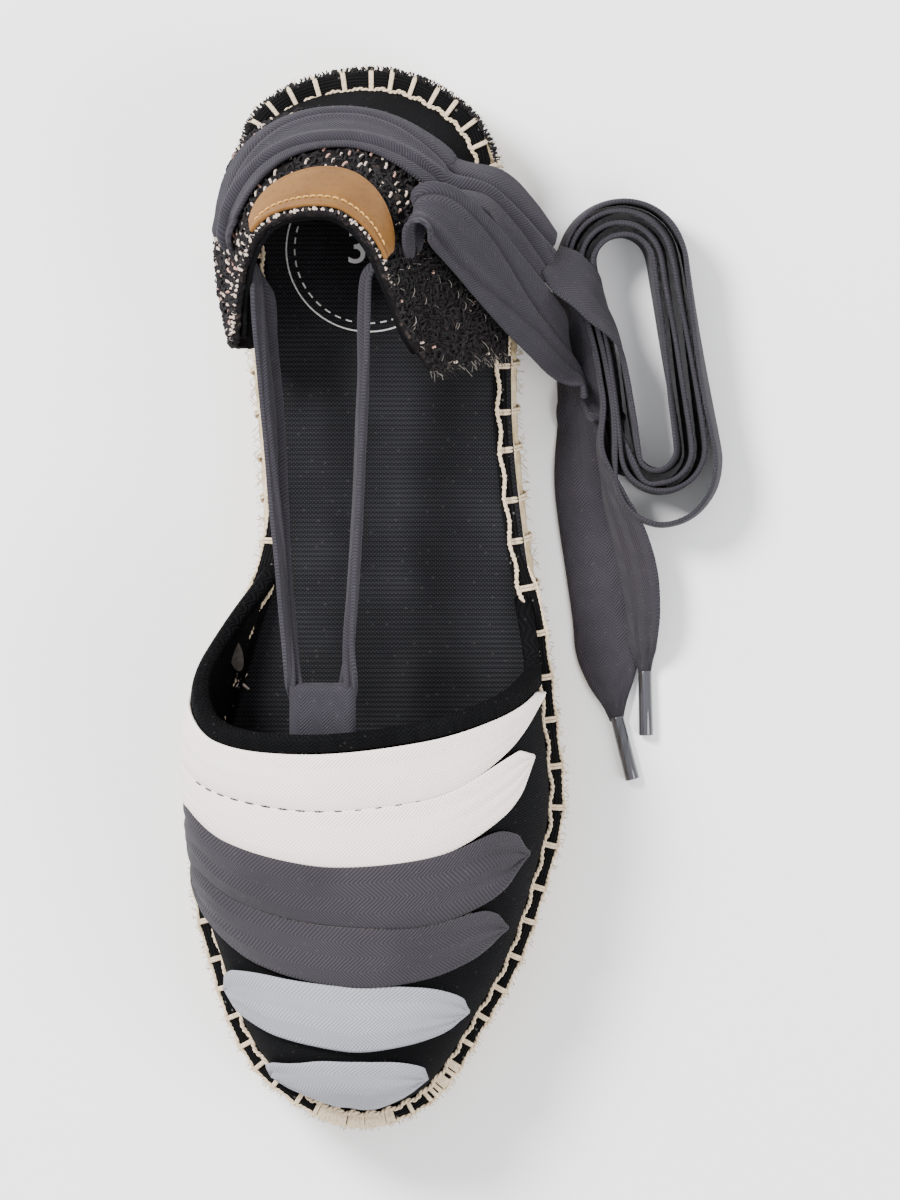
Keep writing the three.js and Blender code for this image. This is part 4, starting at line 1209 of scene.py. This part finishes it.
# Colour, its paler places, the gaps; rib, column, slant; bump, roughness, lint, sheen, specular, clouds, yarns
CLOTHS = {
    "black canvas": ((17, 17, 18), (26, 26, 28), (5, 5, 6), 0.55, 4, 0, 0.1, 0.85, 0.03, 0, 0.04),
    "ribbed canvas": ((25, 25, 27), (60, 60, 63), (13, 13, 14), 1.15, 4, 0, 0.14, 0.85, 0.04, 0, 0.05, 0.22, 0.6),
    "black webbing": ((11, 11, 12), (20, 20, 22), (4, 4, 5), 0.9, 1.1, 1, 0.25, 0.85, 0.03, 0, 0.05),
    "turned canvas": ((15, 15, 16), (27, 26, 26), (5, 5, 6), 0.8, 4, 0, 0.25, 0.85, 0.2, 0, 0.05),
    "cream twill": ((252, 241, 233), (242, 230, 221), (230, 218, 209), 0.9, 3.5, 1, 0.16, 0.8, 0),
    "dark grey twill": ((58, 55, 60), (46, 44, 48), (34, 32, 36), 0.9, 3.5, 1, 0.16, 0.8, 0.03),
    "light grey twill": ((152, 152, 158), (138, 138, 144), (121, 121, 128), 0.9, 3.5, 1, 0.16, 0.8, 0),
    "grey tape": ((54, 51, 57), (42, 40, 45), (33, 31, 36), 0.8, 2.6, 1, 0.14, 0.85, 0.04),
}
for name, values in CLOTHS.items():
    woven(name, *values)
print("woven cloths:", len(CLOTHS))

# %% Tweed, leather, jute, cotton, rubber, plastic, paper and yarns
wool = Finish("tweed", (22, 20, 21), 0.95, specular=0.05)
wool.mottle(420, 2, 0.6, 0.68, (90, 78, 72), 0.35)
wool.mottle(700, 2, 0.5, 0.7, (40, 37, 37), 0.6)
wool.bump(wool.noise(600, 4), 1.0, 1.0)

leather = Finish("tan leather", (112, 76, 34), 0.5)
leather.mottle(90, 5, 0.4, 0.75, (86, 55, 24), 0.7)
leather.mottle(900, 2, 0.55, 0.75, (80, 50, 26), 0.5)
leather.bump(leather.noise(1400, 3), 0.12, 0.6)

jute = Finish("jute", (192, 172, 136), 0.9)
jute_grain = jute.noise(900, 4, jute.drawn_out((1, 1, 3.2)))
jute.tint(jute.ramp(jute_grain, 0.42, 0.68), (160, 138, 102), 0.7)
jute.mottle(70, 3, 0.45, 0.7, (224, 212, 188), 0.6)
jute.bump(jute_grain, 0.5, 0.9)

cotton = Finish("cream cotton", (206, 186, 158), 0.85, 0.1)
cotton.mottle(1500, 3, 0.45, 0.7, (166, 144, 114), 0.6)
cotton.bump(cotton.noise(1500, 3), 0.25, 0.8)

rubber = Finish("rubber", (148, 118, 84), 0.7)
rubber.mottle(260, 4, 0.4, 0.7, (122, 95, 66), 0.7)
rubber.bump(rubber.noise(500, 3), 0.3, 0.5)

plastic = Finish("clear plastic", (52, 52, 58), 0.18)
plastic.set("Coat Weight", 1.0)
plastic.set("Coat Roughness", 0.05)
plastic.tint(plastic.ramp(plastic.noise(700, 2, plastic.drawn_out((1, 0.1, 1))), 0.45, 0.6), (28, 27, 31), 0.8)

ground = Finish("pale paper", (246, 246, 247), 0.95)
ground.mottle(6, 2, 0.3, 0.8, (240, 240, 242), 0.5)
for finish in (wool, leather, jute, cotton, rubber, plastic, ground):
    finish.done()

# Colour, its darker places, specular
YARNS = {
    "dark yarn": ((36, 34, 35), (22, 21, 22), 0.06),
    "grey hair": ((80, 73, 68), (50, 45, 42), 0.25),
    "fringe hair": ((128, 120, 112), (84, 78, 72), 0.25),
    # The tab thread's gold is partly thread colour and partly a painted highlight along the tab's groove.
    "gold thread with painted highlight": ((186, 142, 78), (140, 100, 50), 0.25),
    "white print": ((214, 211, 208), (196, 192, 188), 0.25),
    "pale yarn": ((188, 170, 158), (152, 134, 122), 0.25),
    "rose yarn": ((176, 138, 126), (136, 100, 90), 0.25),
}
for name, (colour, darker, specular) in YARNS.items():
    yarn = Finish(name, colour, 0.9, 0.3 * specular, specular)
    yarn.mottle(1200, 2, 0.4, 0.7, darker, 0.6)
    yarn.done()
print("finishes:", len(finishes))

# %% Each piece gets its finish
wearing = {
    "pale paper": [paper],
    "jute": [rope, fibre_hair, nodes["jute_midsole"]],
    "rubber": [nodes["rubber_outsole"]],
    "black canvas": [vamp, counter],
    "turned canvas": [margin],
    "ribbed canvas": [insole_cover],
    "black webbing": [binding],
    "cream twill": ribbons[:2],
    "dark grey twill": ribbons[2:4],
    "light grey twill": ribbons[4:],
    "grey tape": [loop_tape, first_length, second_length, *held_pieces],
    "tweed": [tweed],
    "tan leather": [tab],
    "cream cotton": [chain_thread, rung_thread],
    "clear plastic": [tip_1, tip_2],
    "dark yarn": [frayed_edge, dark_yarn, fringe, dark_seam],
    "pale yarn": [pale_yarn, edge_dots, cross],
    "rose yarn": [rose_yarn],
    "grey hair": [oval, light_seam],
    "fringe hair": [fringe_pale],
    "gold thread with painted highlight": [tab_stitches],
    "white print": [ring_print, number_print],
}
for name, things in wearing.items():
    for thing in things:
        thing.data.materials.clear()
        thing.data.materials.append(finishes[name])
print("all pieces are finished")
